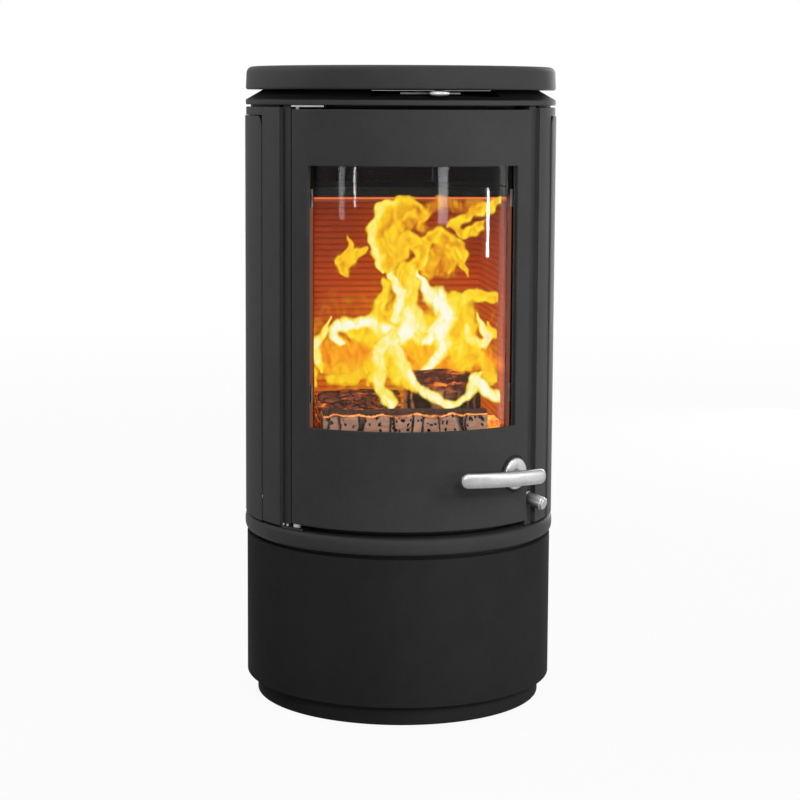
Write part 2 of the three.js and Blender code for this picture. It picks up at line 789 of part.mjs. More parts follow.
// Lid: a thick cast plate, hollow below, with a blanking disc let into its middle
function addLid() {
  const topRadius = rimRadius - lidDraft;
  const holeRadius = lidDiscRadius + fit;
  const ledgeBase = lidHeight - lidTopThickness;
  const ledgeTop = lidHeight - lidDiscThickness - fit;
  const ledgeInner = lidDiscRadius - lidLedge;
  piece(stove, 'top_plate', turn([
    [ledgeInner, ledgeBase], [rimRadius - lidRim, ledgeBase], [rimRadius - lidRim, 0], [rimRadius, 0],
    ...corner(topRadius - lidEdge, lidHeight - lidEdge, lidEdge, 0, 90, 4),
    [holeRadius, lidHeight], [holeRadius, ledgeTop], [ledgeInner, ledgeTop],
  ]), castBlack, lidBase);
  piece(stove, 'top_blanking_disc', disc(lidDiscRadius, 0, lidDiscThickness), castBlack,
    lidBase + ledgeTop + fit);
}

// Air-wash lever: a slotted slide on its housing, an arm out through the cone, and a pebble knob
function addLever() {
  const windowMiddle = leverHalfAngle * 0.6;
  const rib = housingMargin / 2;
  const window = (middle) => sector(leverInner + rib, leverOuter - rib,
    middle - housingWindowAngle / 2, middle + housingWindowAngle / 2, -past, past);
  const height = leverBase - fit - (drumLidTop + fit);
  const reach = leverHalfAngle + leverSwing + degreesAt(leverInner, housingMargin / 2);
  const housing = cut(
    sector(leverInner - housingMargin, leverOuter + housingMargin, -reach, reach, 0, height),
    window(-windowMiddle), window(windowMiddle));
  piece(group(stove, 0, leverAngle), 'airwash_housing', housing, deepBlack, drumLidTop + fit);

  const lever = group(stove, leverBase, leverAngle);
  const knobMiddle = rimRadius + knobOverhang - knobDepth / 2;
  const knobBack = knobMiddle - knobDepth / 2;
  const half = leverArmWidth / 2;
  const slide = cut(sector(leverInner, leverOuter, -leverHalfAngle, leverHalfAngle, 0, leverPlate),
    window(-windowMiddle), window(windowMiddle));
  piece(lever, 'airwash_arm', join(slide,
    block(-half, half, -(knobBack - fit), -(leverOuter - housingMargin / 2), 0, leverPlate)), brushedSteel);
  const pebble = new THREE.SphereGeometry(1, 20, 10);
  pebble.rotateX(Math.PI / 2);
  pebble.scale(knobWidth / 2, knobDepth / 2, knobHeight / 2);
  pebble.translate(0, -knobMiddle, leverPlate / 2);
  piece(lever, 'airwash_knob', solid(pebble), brushedSteel);
}

// Primary-air pull: a bezel on the right pillar, and a knob and rod with a damper plate inside
function addPull() {
  const pillarFace = sector(drumInner, pillarOuter + curveFit, pillarFrom - past, pillarTo + past,
    pullLevel - past, pullLevel + past);
  piece(stove, 'primary_air_bezel', cut(
    rod(bezelRadius, pullPoint(-bezelLength - pullKnobRadius), pullPoint(0)),
    pillarFace,
    rod(pullRodRadius + curveFit, pullPoint(-pullRodInside), pullPoint(past)),
  ), brushedSteel);
  const start = fit;
  const shoulder = pullKnobLength * 0.85;
  piece(stove, 'primary_air_knob', join(
    rod(pullKnobRadius, pullPoint(start), pullPoint(shoulder)),
    rod(pullKnobRadius - 1, pullPoint(shoulder - overlap), pullPoint(pullKnobLength)),
  ), brushedSteel);
  piece(stove, 'primary_air_rod', join(
    rod(pullRodRadius, pullPoint(-pullRodInside), pullPoint(0)),
    rod(pullDamperRadius, pullPoint(-pullRodInside), pullPoint(pullDamperPlate - pullRodInside)),
  ), rawSteel);
}

// Hinges: a plate under the upper ring and one on the deck, each with its pin in the door
function addHinges() {
  const outer = bodyRadius - hingePlateSetback;
  const inner = outer - hingePlateDepth;
  const topBase = ringBase - fit - topHingePlate;
  piece(stove, 'top_hinge_plate', sector(inner, outer, topHingeFrom, topHingeTo, 0, topHingePlate),
    brushedSteel, topBase);
  piece(stove, 'top_hinge_pin',
    post(hingePinRadius, hinge.x, hinge.y, doorTop - hingePinLength, topBase - fit), brushedSteel);

  const plateFrom = pillarFrom - degreesAt(inner, 2 * curveFit);
  const earFrom = pillarTo - degreesAt(outer, curveFit);
  piece(stove, 'bottom_hinge_plate', join(
    sector(inner, outer, -plateFrom, -plateFrom + 6, 0, hingePlate),
    sector(pillarOuter + curveFit, outer, -earFrom, -plateFrom + 1, 0, hingePlate),
  ), rawSteel, deckTop + fit);
  const washerBase = deckTop + fit + hingePlate + fit;
  const washerTop = doorBase - fit;
  piece(stove, 'bottom_hinge_pin', join(
    post(hingeWasherRadius, hinge.x, hinge.y, washerBase, washerTop),
    post(hingePinRadius, hinge.x, hinge.y, washerTop - overlap, doorBase + hingePinLength),
  ), brushedSteel);
  hingeScrewAngles.forEach((angle, i) => {
    const spot = onCircle((pillarOuter + curveFit + outer) / 2, angle);
    const radius = Math.min(hingeScrewRadius, (outer - pillarOuter - curveFit) / 2);
    piece(stove, `hinge_screw_${i + 1}`,
      post(radius, spot.x, spot.y, washerBase, washerBase + hingeScrewHeight, 12), brushedSteel);
  });
}

// Door: a curved cast panel with a rim behind its edge, the glass, its seal and its clips
function addDoor() {
  const door = group(stove, doorBase);
  const windowTop = doorHeight - windowBelowDoorTop;
  const rimOuterAngle = doorHalfAngle - doorRimSetback;
  const rimInnerAngle = rimOuterAngle - doorRimWidth;
  const rim = cut(
    sector(rimInner, doorInner + overlap, -rimOuterAngle, rimOuterAngle,
      doorRimInset, doorHeight - doorRimInset),
    sector(rimInner - past, doorInner + past, -rimInnerAngle, rimInnerAngle,
      doorRimInset + doorRimBar, doorHeight - doorRimInset - doorRimBar));
  const skin = cut(
    sector(doorInner, bodyRadius, -doorHalfAngle, doorHalfAngle, 0, doorHeight),
    sector(doorInner - past, bodyRadius + past, -windowHalfAngle, windowHalfAngle,
      windowAboveDoorBase, windowTop));
  const lugRadius = hingePinRadius + fit + hingeLugWall;
  const lug = (bottom, top) => post(lugRadius, hinge.x, hinge.y, bottom, top);
  const pinHole = (bottom, top) => post(hingePinRadius + fit, hinge.x, hinge.y, bottom, top);
  const recessFloor = bodyRadius - bossRecessDepth;
  piece(door, 'door_panel', cut(
    join(skin, rim, lug(0, hingeLugHeight), lug(doorHeight - hingeLugHeight, doorHeight)),
    pinHole(-past, hingePinLength + 1), pinHole(doorHeight - hingePinLength - 1, doorHeight + past),
    spoke(bossRadius + bossRecessGap, handleAngle, handleAboveDoorBase, recessFloor, bodyRadius + past,
      pipeSteps),
    spoke(spindleRadius + fit, handleAngle, handleAboveDoorBase, rimInner, bodyRadius + past),
  ), castBlack);

  const glassHalf = windowHalfAngle + glassLapAngle;
  const glassBase = windowAboveDoorBase - glassLap;
  const glassTop = windowTop + glassLap;
  piece(door, 'door_glass',
    sector(glassInner, glassOuter, -glassHalf, glassHalf, glassBase, glassTop), clearGlass);
  const frameOf = (inner, outer, half, bottom, top, width) => cut(
    sector(inner, outer, -half, half, bottom, top),
    sector(inner - past, outer + past, -half + degreesAt(inner, width), half - degreesAt(inner, width),
      bottom + width, top - width));
  piece(door, 'glass_seal', frameOf(glassOuter + fit, doorInner - fit, glassHalf,
    glassBase, glassTop, glassSealWidth), ropeSeal);
  piece(door, 'door_seal', frameOf(sealInner, sealOuter, rimOuterAngle - doorRimWidth / 3,
    doorRimInset + doorRimBar / 5, doorHeight - doorRimInset - doorRimBar / 5, doorSealWidth), ropeSeal);

  const legFrom = glassHalf + degreesAt(glassOuter, 2 * fit);
  for (const [word, side] of [['left', -1], ['right', 1]]) {
    for (const [row, middle] of [
      ['lower', windowAboveDoorBase + clipFromWindowEnd], ['upper', windowTop - clipFromWindowEnd]]) {
      const turned = (from, to) => (side < 0 ? [-to, -from] : [from, to]);
      const [bottom, top] = [middle - clipHeight / 2, middle + clipHeight / 2];
      const clipOuter = glassInner - curveFit;
      piece(door, `glass_clip_${row}_${word}`, join(
        sector(clipOuter - clipThickness, clipOuter,
          ...turned(legFrom - clipLapAngle, legFrom + clipLegAngle), bottom, top),
        sector(clipOuter - overlap, doorInner - fit, ...turned(legFrom, legFrom + clipLegAngle), bottom, top),
      ), rawSteel);
    }
  }
  addHandle(door);
}

// Handle: a bar bent round the door on a spindle, with its boss, and the tongue behind the door
function addHandle(door) {
  const handle = group(door, handleAboveDoorBase, handleAngle);
  const barInner = bodyRadius + barStandoff;
  const barOuter = barInner + barThickness;
  const end = barHeight / 2;
  const band = turn([
    ...corner(barInner + barEdge, -end + barEdge, barEdge, 180, 270, 2),
    ...corner(barOuter - barEdge, -end + barEdge, barEdge, 270, 360, 2),
    ...corner(barOuter - barEdge, end - barEdge, barEdge, 0, 90, 2),
    ...corner(barInner + barEdge, end - barEdge, barEdge, 90, 180, 2),
  ], sheetSteps * 2);
  const outline = [
    ...corner(barShortReach - end, 0, end, -90, 90, 6),
    ...corner(end - barLongReach, 0, end, 90, 270, 6),
  ];
  const bar = piece(handle, 'handle_bar', band.intersect(across(outline, -barOuter - past, 0)), brushedSteel);
  bar.rotation.y = radians(barTilt);

  const bossBack = -(bodyRadius - bossRecessDepth + fit);
  const bossFront = bossBack - bossDepth;
  const bossBore = spindleRadius + fit;
  piece(handle, 'handle_boss', spin([
    [bossBore, bossFront], [bossRadius - bossEdge, bossFront],
    ...corner(bossRadius - bossEdge, bossFront + bossEdge, bossEdge, -90, 0, 2),
    [bossRadius, bossBack], [bossBore, bossBack],
  ], pipeSteps), brushedSteel);

  const camBack = -(sealInner + 2);
  const camFront = camBack - camThickness;
  const spindleFront = -(barInner - curveFit);
  piece(handle, 'handle_spindle', spin([
    [0, spindleFront], [spindleRadius, spindleFront], [spindleRadius, camFront - fit],
    [spindleTipRadius, camFront - fit], [spindleTipRadius, camBack + 1], [0, camBack + 1],
  ]), brushedSteel);

  const half = camWidth / 2;
  const tongue = across([
    [0, -half], ...corner(camReach - half, 0, half, -90, 90, 4), [0, half]], camFront, camBack);
  const hub = rod(camHubRadius, new THREE.Vector3(0, camFront, 0), new THREE.Vector3(0, camBack, 0));
  const hole = rod(spindleTipRadius + fit,
    new THREE.Vector3(0, camFront - past, 0), new THREE.Vector3(0, camBack + past, 0));
  piece(handle, 'latch_cam', cut(join(hub, tongue), hole), rawSteel);

  const collarFront = -(chord(doorInner, collarRadius) - curveFit);
  const collarBack = camFront - fit;
  piece(handle, 'spindle_collar', spin([
    [spindleRadius + fit, collarFront], [collarRadius, collarFront],
    [collarRadius, collarBack], [spindleRadius + fit, collarBack],
  ]), rawSteel);
}

// A log lying from left to right: a section of [y, z] pairs on a flat foot, swelling along its length
function log(section, length, swell, waves) {
  const geometry = along(section, -length / 2, length / 2, 6);
  const points = geometry.attributes.position;
  for (let i = 0; i < points.count; i++) {
    const girth = 1 - swell / 2 + swell / 2 * Math.cos(waves * Math.PI * points.getX(i) / length);
    points.setY(i, points.getY(i) * girth);
    points.setZ(i, points.getZ(i) * girth);
  }
  return solid(geometry);
}

// A round log's section, flattened below
function roundSection(depth, height, bumps) {
  const section = [];
  const count = 12;
  for (let i = 0; i <= count; i++) {
    const lean = radians(-30 + 240 * i / count);
    const bump = 1 + 0.05 * Math.sin(bumps * (lean + Math.PI / 6)) * Math.max(0, Math.sin(lean));
    const rise = height / 3 + height * 2 / 3 * Math.sin(lean) * bump;
    section.push([depth / 2 * Math.cos(lean) * bump, i % count ? rise : 0]);
  }
  return section;
}

function addLogs() {
  const foot = hearthTop + fit;
  const back = frontLogDepth / 2;
  const reach = chord(frameInner, frontLogLength / 2 + Math.abs(frontLogShift)) - frontLogGap;
  const split = [
    [-back, 0], [back, 0], [back * 1.06, frontLogHeight * 0.35], [back * 0.68, frontLogHeight * 0.8],
    [-back * 0.55, frontLogHeight], [-back * 0.9, frontLogHeight * 0.91],
  ];
  const front = piece(stove, 'log_front', log(split, frontLogLength, 0.04, 3), bark, foot);
  front.position.set(frontLogShift, back - reach, foot);
  const others = [
    ['log_back_left', roundSection(leftLogDepth, leftLogHeight, 3), leftLogLength, 2, leftLogPlace],
    ['log_back_right', roundSection(rightLogDepth, rightLogHeight, 4), rightLogLength, 3, rightLogPlace],
  ];
  for (const [name, section, length, waves, [x, y, angle]] of others) {
    const mesh = piece(stove, name, log(section, length, 0.06, waves), char, foot);
    mesh.position.set(x, frontLogDepth - reach + y, foot);
    mesh.rotation.z = radians(angle);
  }
}

addPedestal();
addDeck();
addAirDuct();
addDrum();
addLining();
addBaffles();
addGrate();
addFrontFrame();
addOuterSheets();
addFlue();
addUpperRing();
addLid();
addLever();
addPull();
addHinges();
addDoor();
addLogs();

export default stove;
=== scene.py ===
import bmesh
import bpy
import json
import math
import numpy as np
from mathutils import Matrix, Vector


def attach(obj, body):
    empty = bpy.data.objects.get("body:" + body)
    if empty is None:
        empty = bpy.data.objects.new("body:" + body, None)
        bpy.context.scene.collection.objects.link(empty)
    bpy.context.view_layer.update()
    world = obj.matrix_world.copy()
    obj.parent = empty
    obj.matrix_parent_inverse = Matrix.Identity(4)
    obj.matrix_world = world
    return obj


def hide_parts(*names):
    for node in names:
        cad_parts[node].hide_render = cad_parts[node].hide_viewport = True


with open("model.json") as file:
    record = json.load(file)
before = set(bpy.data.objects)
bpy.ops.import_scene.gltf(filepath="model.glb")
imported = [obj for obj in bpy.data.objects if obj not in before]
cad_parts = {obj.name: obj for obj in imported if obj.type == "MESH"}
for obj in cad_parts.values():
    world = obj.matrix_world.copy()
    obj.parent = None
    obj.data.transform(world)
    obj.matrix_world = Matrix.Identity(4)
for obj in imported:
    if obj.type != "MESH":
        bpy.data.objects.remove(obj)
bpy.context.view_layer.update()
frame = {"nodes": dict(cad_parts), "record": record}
scene = bpy.context.scene
scene.view_settings.view_transform = "Standard"
print("frame loaded")


def feed(tree, socket, value):
    # Sets an input to a value or links it to a socket; a node stands for its first output in use.
    if isinstance(value, bpy.types.Node):
        value = next(output for output in value.outputs if output.enabled)
    if isinstance(value, bpy.types.NodeSocket):
        tree.links.new(value, socket)
    else:
        socket.default_value = (*value, 1) if socket.type == "RGBA" else value


def node(tree, kind, **settings):
    # Adds a node. Capitalised names and in0, in1 ... are its inputs, other names its own settings.
    made = tree.nodes.new("ShaderNode" + kind)
    for key, value in settings.items():
        if key[2:].isdigit():
            feed(tree, made.inputs[int(key[2:])], value)
        elif key[0].isupper():
            feed(tree, made.inputs[key], value)
        else:
            setattr(made, key, value)
    return made


def maths(tree, operation, *values, **settings):
    numbered = {f"in{k}": value for k, value in enumerate(values)}
    return node(tree, "Math", operation=operation, **numbered, **settings)


def spread(tree, value, *limits, **settings):
    # A Map Range node; limits are from low, from high, to low and to high.
    numbered = {f"in{k + 1}": limit for k, limit in enumerate(limits)}
    return node(tree, "MapRange", Value=value, **numbered, **settings)


def blend(tree, first, second, factor, kind="MIX"):
    return node(tree, "Mix", data_type="RGBA", blend_type=kind, Factor=factor, A=first, B=second)


def ramp(tree, value, stops):
    # A colour ramp over value; stops are (place, colour).
    made = node(tree, "ValToRGB", in0=value)
    parts = made.color_ramp.elements
    while len(parts) < len(stops):
        parts.new(0.5)
    for part, (place, colour) in zip(parts, stops):
        part.position = place
        part.color = (*colour, 1)
    return made


def startGroup(name, inputs, outputs):
    # An empty node group with named inputs (name, kind, value) and outputs (name, kind).
    tree = bpy.data.node_groups.new(name, "ShaderNodeTree")
    for label, kind, value in inputs:
        socket = tree.interface.new_socket(name=label, in_out="INPUT", socket_type="NodeSocket" + kind)
        if value is not None:
            socket.default_value = value
    for label, kind in outputs:
        tree.interface.new_socket(name=label, in_out="OUTPUT", socket_type="NodeSocket" + kind)
    return tree, tree.nodes.new("NodeGroupInput").outputs, tree.nodes.new("NodeGroupOutput").inputs


def makeMottle():
    # Two sizes of noise added up: slow blotches, and finer ones at a third of the weight.
    tree, put, out = startGroup("mottle", [
        ("Vector", "Vector", None), ("Scale", "Float", 12.0), ("Dark", "Color", (0.02, 0.02, 0.02, 1)),
        ("Light", "Color", (0.04, 0.04, 0.04, 1))], [("Colour", "Color"), ("Amount", "Float")])
    slow = node(tree, "TexNoise", Vector=put["Vector"], Scale=put["Scale"], Detail=4.0, Roughness=0.6)
    faster = maths(tree, "MULTIPLY", put["Scale"], 9.0)
    quick = node(tree, "TexNoise", Vector=put["Vector"], Scale=faster, Detail=3.0, Roughness=0.5)
    amount = spread(tree, maths(tree, "ADD", slow, maths(tree, "MULTIPLY", quick, 0.33)), 0.42, 0.92)
    feed(tree, out["Colour"], blend(tree, put["Dark"], put["Light"], amount))
    feed(tree, out["Amount"], amount)
    return tree


def makeGrain():
    # The grain of a cast or sprayed surface: fine noise, and a sparse fleck where it peaks.
    tree, put, out = startGroup("grain", [("Vector", "Vector", None), ("Scale", "Float", 700.0)],
                                [("Height", "Float"), ("Fleck", "Float")])
    fine = node(tree, "TexNoise", Vector=put["Vector"], Scale=put["Scale"], Detail=2.0, Roughness=0.6)
    feed(tree, out["Height"], fine)
    feed(tree, out["Fleck"], spread(tree, fine, 0.55, 0.75))
    return tree


def makeBrush():
    # Brush marks: noise whose place is multiplied by Along, which draws it out where that is small.
    tree, put, out = startGroup("brushMarks", [
        ("Vector", "Vector", None), ("Along", "Vector", (20, 900, 900))], [("Mark", "Float")])
    stretch = node(tree, "VectorMath", operation="MULTIPLY", in0=put["Vector"], in1=put["Along"])
    feed(tree, out["Mark"], node(tree, "TexNoise", Vector=stretch, Scale=1.0, Detail=3.0, Roughness=0.7))
    return tree


groups = {"mottle": makeMottle(), "grain": makeGrain(), "brush": makeBrush()}


def useGroup(tree, name, **values):
    made = tree.nodes.new("ShaderNodeGroup")
    made.node_tree = groups[name]
    for key, value in values.items():
        feed(tree, made.inputs[key], value)
    return made.outputs


def dress(tree, **values):
    # Sets or feeds inputs of the Principled shader.
    for key, value in values.items():
        feed(tree, tree.nodes["Principled BSDF"].inputs[key.replace("_", " ")], value)


def startMaterial(name, **values):
    # A material with fixed values on its shader, and its Object coordinates.
    material = bpy.data.materials.new(name)
    material.use_nodes = True
    tree = material.node_tree
    dress(tree, **values)
    return material, tree, node(tree, "TexCoord").outputs["Object"]


def bumpFrom(tree, height, strength, distance):
    dress(tree, Normal=node(tree, "Bump", Strength=strength, Distance=distance, Height=height))


def heightOf(tree, place):
    return node(tree, "SeparateXYZ", Vector=place).outputs["Z"]


def paint(name, dark, light, scale, grain, rough, shine, bump, rim=None):
    # Stove paint: slow blotches in colour and roughness, a sparse fleck at a third of the light tone,
    # and a fine grain in the bump. rim is (level, colour): the paint has that colour below the level.
    material, tree, place = startMaterial(name, Specular_IOR_Level=shine)
    blotch = useGroup(tree, "mottle", Vector=place, Scale=scale, Dark=dark, Light=light)
    speck = useGroup(tree, "grain", Vector=place, Scale=grain)
    fleck = [tone * 0.35 for tone in light]
    colour = blend(tree, blotch["Colour"], fleck, speck["Fleck"], "ADD")
    if rim:
        colour = blend(tree, colour, rim[1], maths(tree, "LESS_THAN", heightOf(tree, place), rim[0]))
    dress(tree, Base_Color=colour, Roughness=spread(tree, blotch["Amount"], 0, 1, *rough))
    bumpFrom(tree, speck["Height"], *bump)
    return material


def metal(name, dark, light, rough, along):
    # Brushed steel: fine lines in roughness and bump along one direction, blotches in the colour.
    material, tree, place = startMaterial(name, Metallic=1.0)
    marks = useGroup(tree, "brush", Vector=place, Along=along)["Mark"]
    blotch = useGroup(tree, "mottle", Vector=place, Scale=25.0, Dark=dark, Light=light)
    dress(tree, Base_Color=blotch["Colour"], Roughness=spread(tree, marks, 0, 1, *rough))
    bumpFrom(tree, marks, 0.12, 0.0004)
    return material


def board(name, low, high, glow=None):
    # Lining board: pressed mineral with specks, lit by the fire in front of it. The glow is
    # strongest low down in the middle and fades with the distance from there.
    material, tree, place = startMaterial(name, Roughness=0.95)
    blotch = useGroup(tree, "mottle", Vector=place, Scale=18.0, Dark=low, Light=high)
    dress(tree, Base_Color=blotch["Colour"])
    bumpFrom(tree, useGroup(tree, "grain", Vector=place, Scale=420.0)["Height"], 0.35, 0.001)
    if glow:
        centred = node(tree, "Mapping", Vector=place, Location=glow["centre"], Scale=glow["reach"])
        warm = ramp(tree, node(tree, "VectorMath", operation="LENGTH", in0=centred), glow["colours"])
        rough = blend(tree, warm, blotch["Amount"], glow["uneven"], "MULTIPLY")
        # the level grooves lie in shade: how far each height is from the nearest groove, in pitches
        spot = node(tree, "SeparateXYZ", Vector=place).outputs
        pitches = maths(tree, "MULTIPLY_ADD", spot["Z"], 1 / glow["pitch"], 0.5 - glow["top"] / glow["pitch"])
        apart = maths(tree, "ABSOLUTE", maths(tree, "SUBTRACT", maths(tree, "FRACT", pitches), 0.5))
        ribbed = blend(tree, rough, spread(tree, apart, *glow["groove"]), glow["shade"], "MULTIPLY")
        # a small bright ring round each air hole: the distance to the nearest hole of the row
        nearest = maths(tree, "FRACT", maths(tree, "MULTIPLY_ADD", spot["X"], 1 / glow["holePitch"], 0.5))
        sideways = maths(tree, "MULTIPLY_ADD", nearest, glow["holePitch"], -glow["holePitch"] / 2)
        upwards = maths(tree, "SUBTRACT", spot["Z"], glow["holeLevel"])
        hole = node(tree, "CombineXYZ", X=sideways, Z=upwards)
        ringed = ramp(tree, node(tree, "VectorMath", operation="LENGTH", in0=hole), glow["rings"])
        dress(tree, Emission_Color=blend(tree, ribbed, ringed, 1.0, "ADD"))
        dress(tree, Emission_Strength=glow["strength"])
    return material


def timber(name, wood):
    # Wood: fibres along X, a net of cracks from cell edges, small holes from cell middles, a scorched
    # band that creeps down from the top, and a glow along ridges of drawn-out noise.
    material, tree, place = startMaterial(name, Roughness=0.9, Emission_Strength=wood["strength"])
    marks = useGroup(tree, "brush", Vector=place, Along=wood["fibres"])["Mark"]
    wander = node(tree, "TexNoise", Vector=place, Scale=45.0, Detail=3.0).outputs["Color"]
    bent = node(tree, "VectorMath", operation="MULTIPLY_ADD", in0=wander, in1=(0.014,) * 3, in2=place)

    def drawnOut(kind, scale, **settings):
        return node(tree, kind, Vector=node(tree, "Mapping", Vector=bent, Scale=scale), Scale=1.0, **settings)

    gap, size, creep = wood["gap"], wood["holeSize"], wood["creep"]
    cells = drawnOut("TexVoronoi", wood["cells"], feature="DISTANCE_TO_EDGE")
    spots = drawnOut("TexVoronoi", wood["holes"])
    whole, solid = spread(tree, cells, gap * 0.3, gap), spread(tree, spots, size * 0.7, size)
    sound = maths(tree, "MULTIPLY", whole, solid)
    patches = node(tree, "TexNoise", Vector=place, Scale=wood["patches"], Detail=4.0)
    level = heightOf(tree, bent)
    crept = maths(tree, "MULTIPLY_ADD", patches, creep, level)
    clean = spread(tree, crept, wood["scorchTo"] + creep / 2, wood["scorchFrom"] + creep / 2)
    fibre = ramp(tree, marks, [(0.3, wood["dark"]), (0.7, wood["light"])])
    dress(tree, Base_Color=blend(tree, wood["char"], blend(tree, wood["inside"], fibre, sound), clean))
    bumpFrom(tree, maths(tree, "MULTIPLY_ADD", marks, 0.35, sound), 0.9, 0.003)
    ridge = spread(tree, drawnOut("TexNoise", wood["ridges"], Detail=4.0, Roughness=0.62), *wood["hot"])
    begins, ends = spread(tree, level, *wood["glowing"]), spread(tree, level, *wood["glowEnds"])
    lit = maths(tree, "MULTIPLY", begins, ends)
    dress(tree, Emission_Color=ramp(tree, maths(tree, "MULTIPLY", ridge, lit), wood["glow"]))
    return material


# dark and light tone, size of the blotches and of the grain, roughness, specular level, bump
satinPaint = paint("satinPaint", (0.016, 0.016, 0.0163), (0.022, 0.022, 0.0224), 5.0, 1500.0,
                   (0.66, 0.76), 0.01, (0.05, 0.0002))
castPaint = paint("castPaint", (0.024, 0.024, 0.0243), (0.034, 0.034, 0.0344), 7.0, 900.0,
                  (0.56, 0.66), 0.1, (0.12, 0.0003))
panelPaint = paint("panelPaint", (0.04, 0.04, 0.0405), (0.054, 0.054, 0.0545), 5.0, 1300.0,
                   (0.6, 0.7), 0.04, (0.06, 0.0002))
deepPaint = paint("deepPaint", (0.006,) * 3, (0.011,) * 3, 9.0, 900.0, (0.6, 0.75), 0.2, (0.1, 0.0003))
pillarPaint = paint("pillarPaint", (0.02, 0.02, 0.0203), (0.03, 0.03, 0.0304), 7.0, 1100.0,
                    (0.5, 0.6), 0.1, (0.06, 0.0002))
# the ring's paint: above the level the collar is painted near-black, a painted shade for the shadow under the
# lid's overhang; below the level the rim keeps a paler paint
ringPaint = paint("ringPaint", (0.003,) * 3, (0.005,) * 3, 9.0, 900.0, (0.6, 0.7), 0.05, (0.08, 0.0003),
                  (0.8468, (0.04, 0.04, 0.0404)))   # the rim below the collar is paler
# dark and light tone, roughness, brush marks
plainSteel = metal("plainSteel", (0.2,) * 3, (0.34,) * 3, (0.38, 0.55), (40, 500, 500))
darkSteel = metal("darkSteel", (0.02,) * 3, (0.035,) * 3, (0.5, 0.62), (60, 60, 400))
smallSteel = metal("smallSteel", (0.3,) * 3, (0.42,) * 3, (0.3, 0.42), (60, 60, 900))
brightSteel = metal("brightSteel", (0.28, 0.279, 0.278), (0.42, 0.418, 0.416), (0.3, 0.46), (60, 60, 1600))
sootBoard = board("sootBoard", (0.003,) * 3, (0.007,) * 3)
glowBoard = board("glowBoard", (0.03, 0.005, 0.002), (0.06, 0.011, 0.004), {
    "strength": 0.85, "top": 0.7063, "pitch": 0.0088, "groove": (0.08, 0.3), "shade": 0.42, "uneven": 0.3,
    "centre": (-0.015, 0, -0.43 * 0.8), "reach": (0.9, 0.25, 0.8), "holePitch": 0.025, "holeLevel": 0.4823,
    "colours": [(0.0, (1.0, 0.34, 0.01)), (0.07, (0.9, 0.17, 0.004)), (0.15, (0.6, 0.062, 0.002)),
                (0.26, (0.195, 0.016, 0.001)), (0.42, (0.045, 0.003, 0))],
    "rings": [(0.0025, (0, 0, 0)), (0.0035, (0.5, 0.16, 0.02)), (0.0065, (0.35, 0.1, 0.01)),
              (0.0105, (0, 0, 0))]})

firelight = {"inward": (-0.35, -0.6), "ends": (0.722, 0.712), "edge": (0.7132, 0.7122),
             "line": (0.7098, 0.7108, 0.24, 1.0), "frame": (0.2, 0.06, 0.035), "baffle": (1.0, 0.19, 0.04)}


def firelit(name, tone, mask):
    # A dark finish that glows where the fire lights it; mask gives 0 to 1 from the object's own
    # place and the direction of the surface.
    material = paint(name, (0.006,) * 3, (0.011,) * 3, 9.0, 900.0, (0.6, 0.75), 0.1, (0.1, 0.0003))
    tree = material.node_tree
    lit = mask(tree, node(tree, "TexCoord").outputs)
    dress(tree, Emission_Color=blend(tree, (0, 0, 0), tone, lit), Emission_Strength=1.0)
    return material


def facesFire(tree, place):
    # 1 on upright faces that look towards the middle plane, below the level where the fire's light
    # ends: the sideways part of the direction times the sign of the place.
    spot = node(tree, "SeparateXYZ", Vector=place["Object"]).outputs
    direction = node(tree, "SeparateXYZ", Vector=place["Normal"]).outputs
    inward = maths(tree, "MULTIPLY", maths(tree, "SIGN", spot["X"]), direction["X"])
    return maths(tree, "MULTIPLY", spread(tree, inward, *firelight["inward"]),
                 spread(tree, spot["Z"], *firelight["ends"]))


def lowEdge(tree, place):
    # Faint below the level where the fire's light ends, with a bright thin line at that level.
    level = heightOf(tree, place["Object"])
    return maths(tree, "MULTIPLY", spread(tree, level, *firelight["edge"]),
                 spread(tree, level, *firelight["line"]))


firelitFrame = firelit("firelitFrame", firelight["frame"], facesFire)
firelitBaffle = firelit("firelitBaffle", firelight["baffle"], lowEdge)

glassMaterial, glassTree, glassPlace = startMaterial(
    "clearGlass", Roughness=0.0, IOR=1.165, Transmission_Weight=1.0)
smear = useGroup(glassTree, "mottle", Vector=glassPlace, Scale=6.0, Dark=(0.94, 0.95, 0.95), Light=(1, 1, 1))
dress(glassTree, Base_Color=smear["Colour"])

ropeMaterial, ropeTree, ropePlace = startMaterial("ropeSeal", Roughness=0.95)
strand = node(ropeTree, "TexWave", Vector=ropePlace, Scale=160.0, Distortion=3.0, Detail=2.0).outputs["Fac"]
dress(ropeTree, Base_Color=ramp(ropeTree, strand, [(0, (0.03,) * 3), (1, (0.1,) * 3)]))
bumpFrom(ropeTree, strand, 0.6, 0.001)

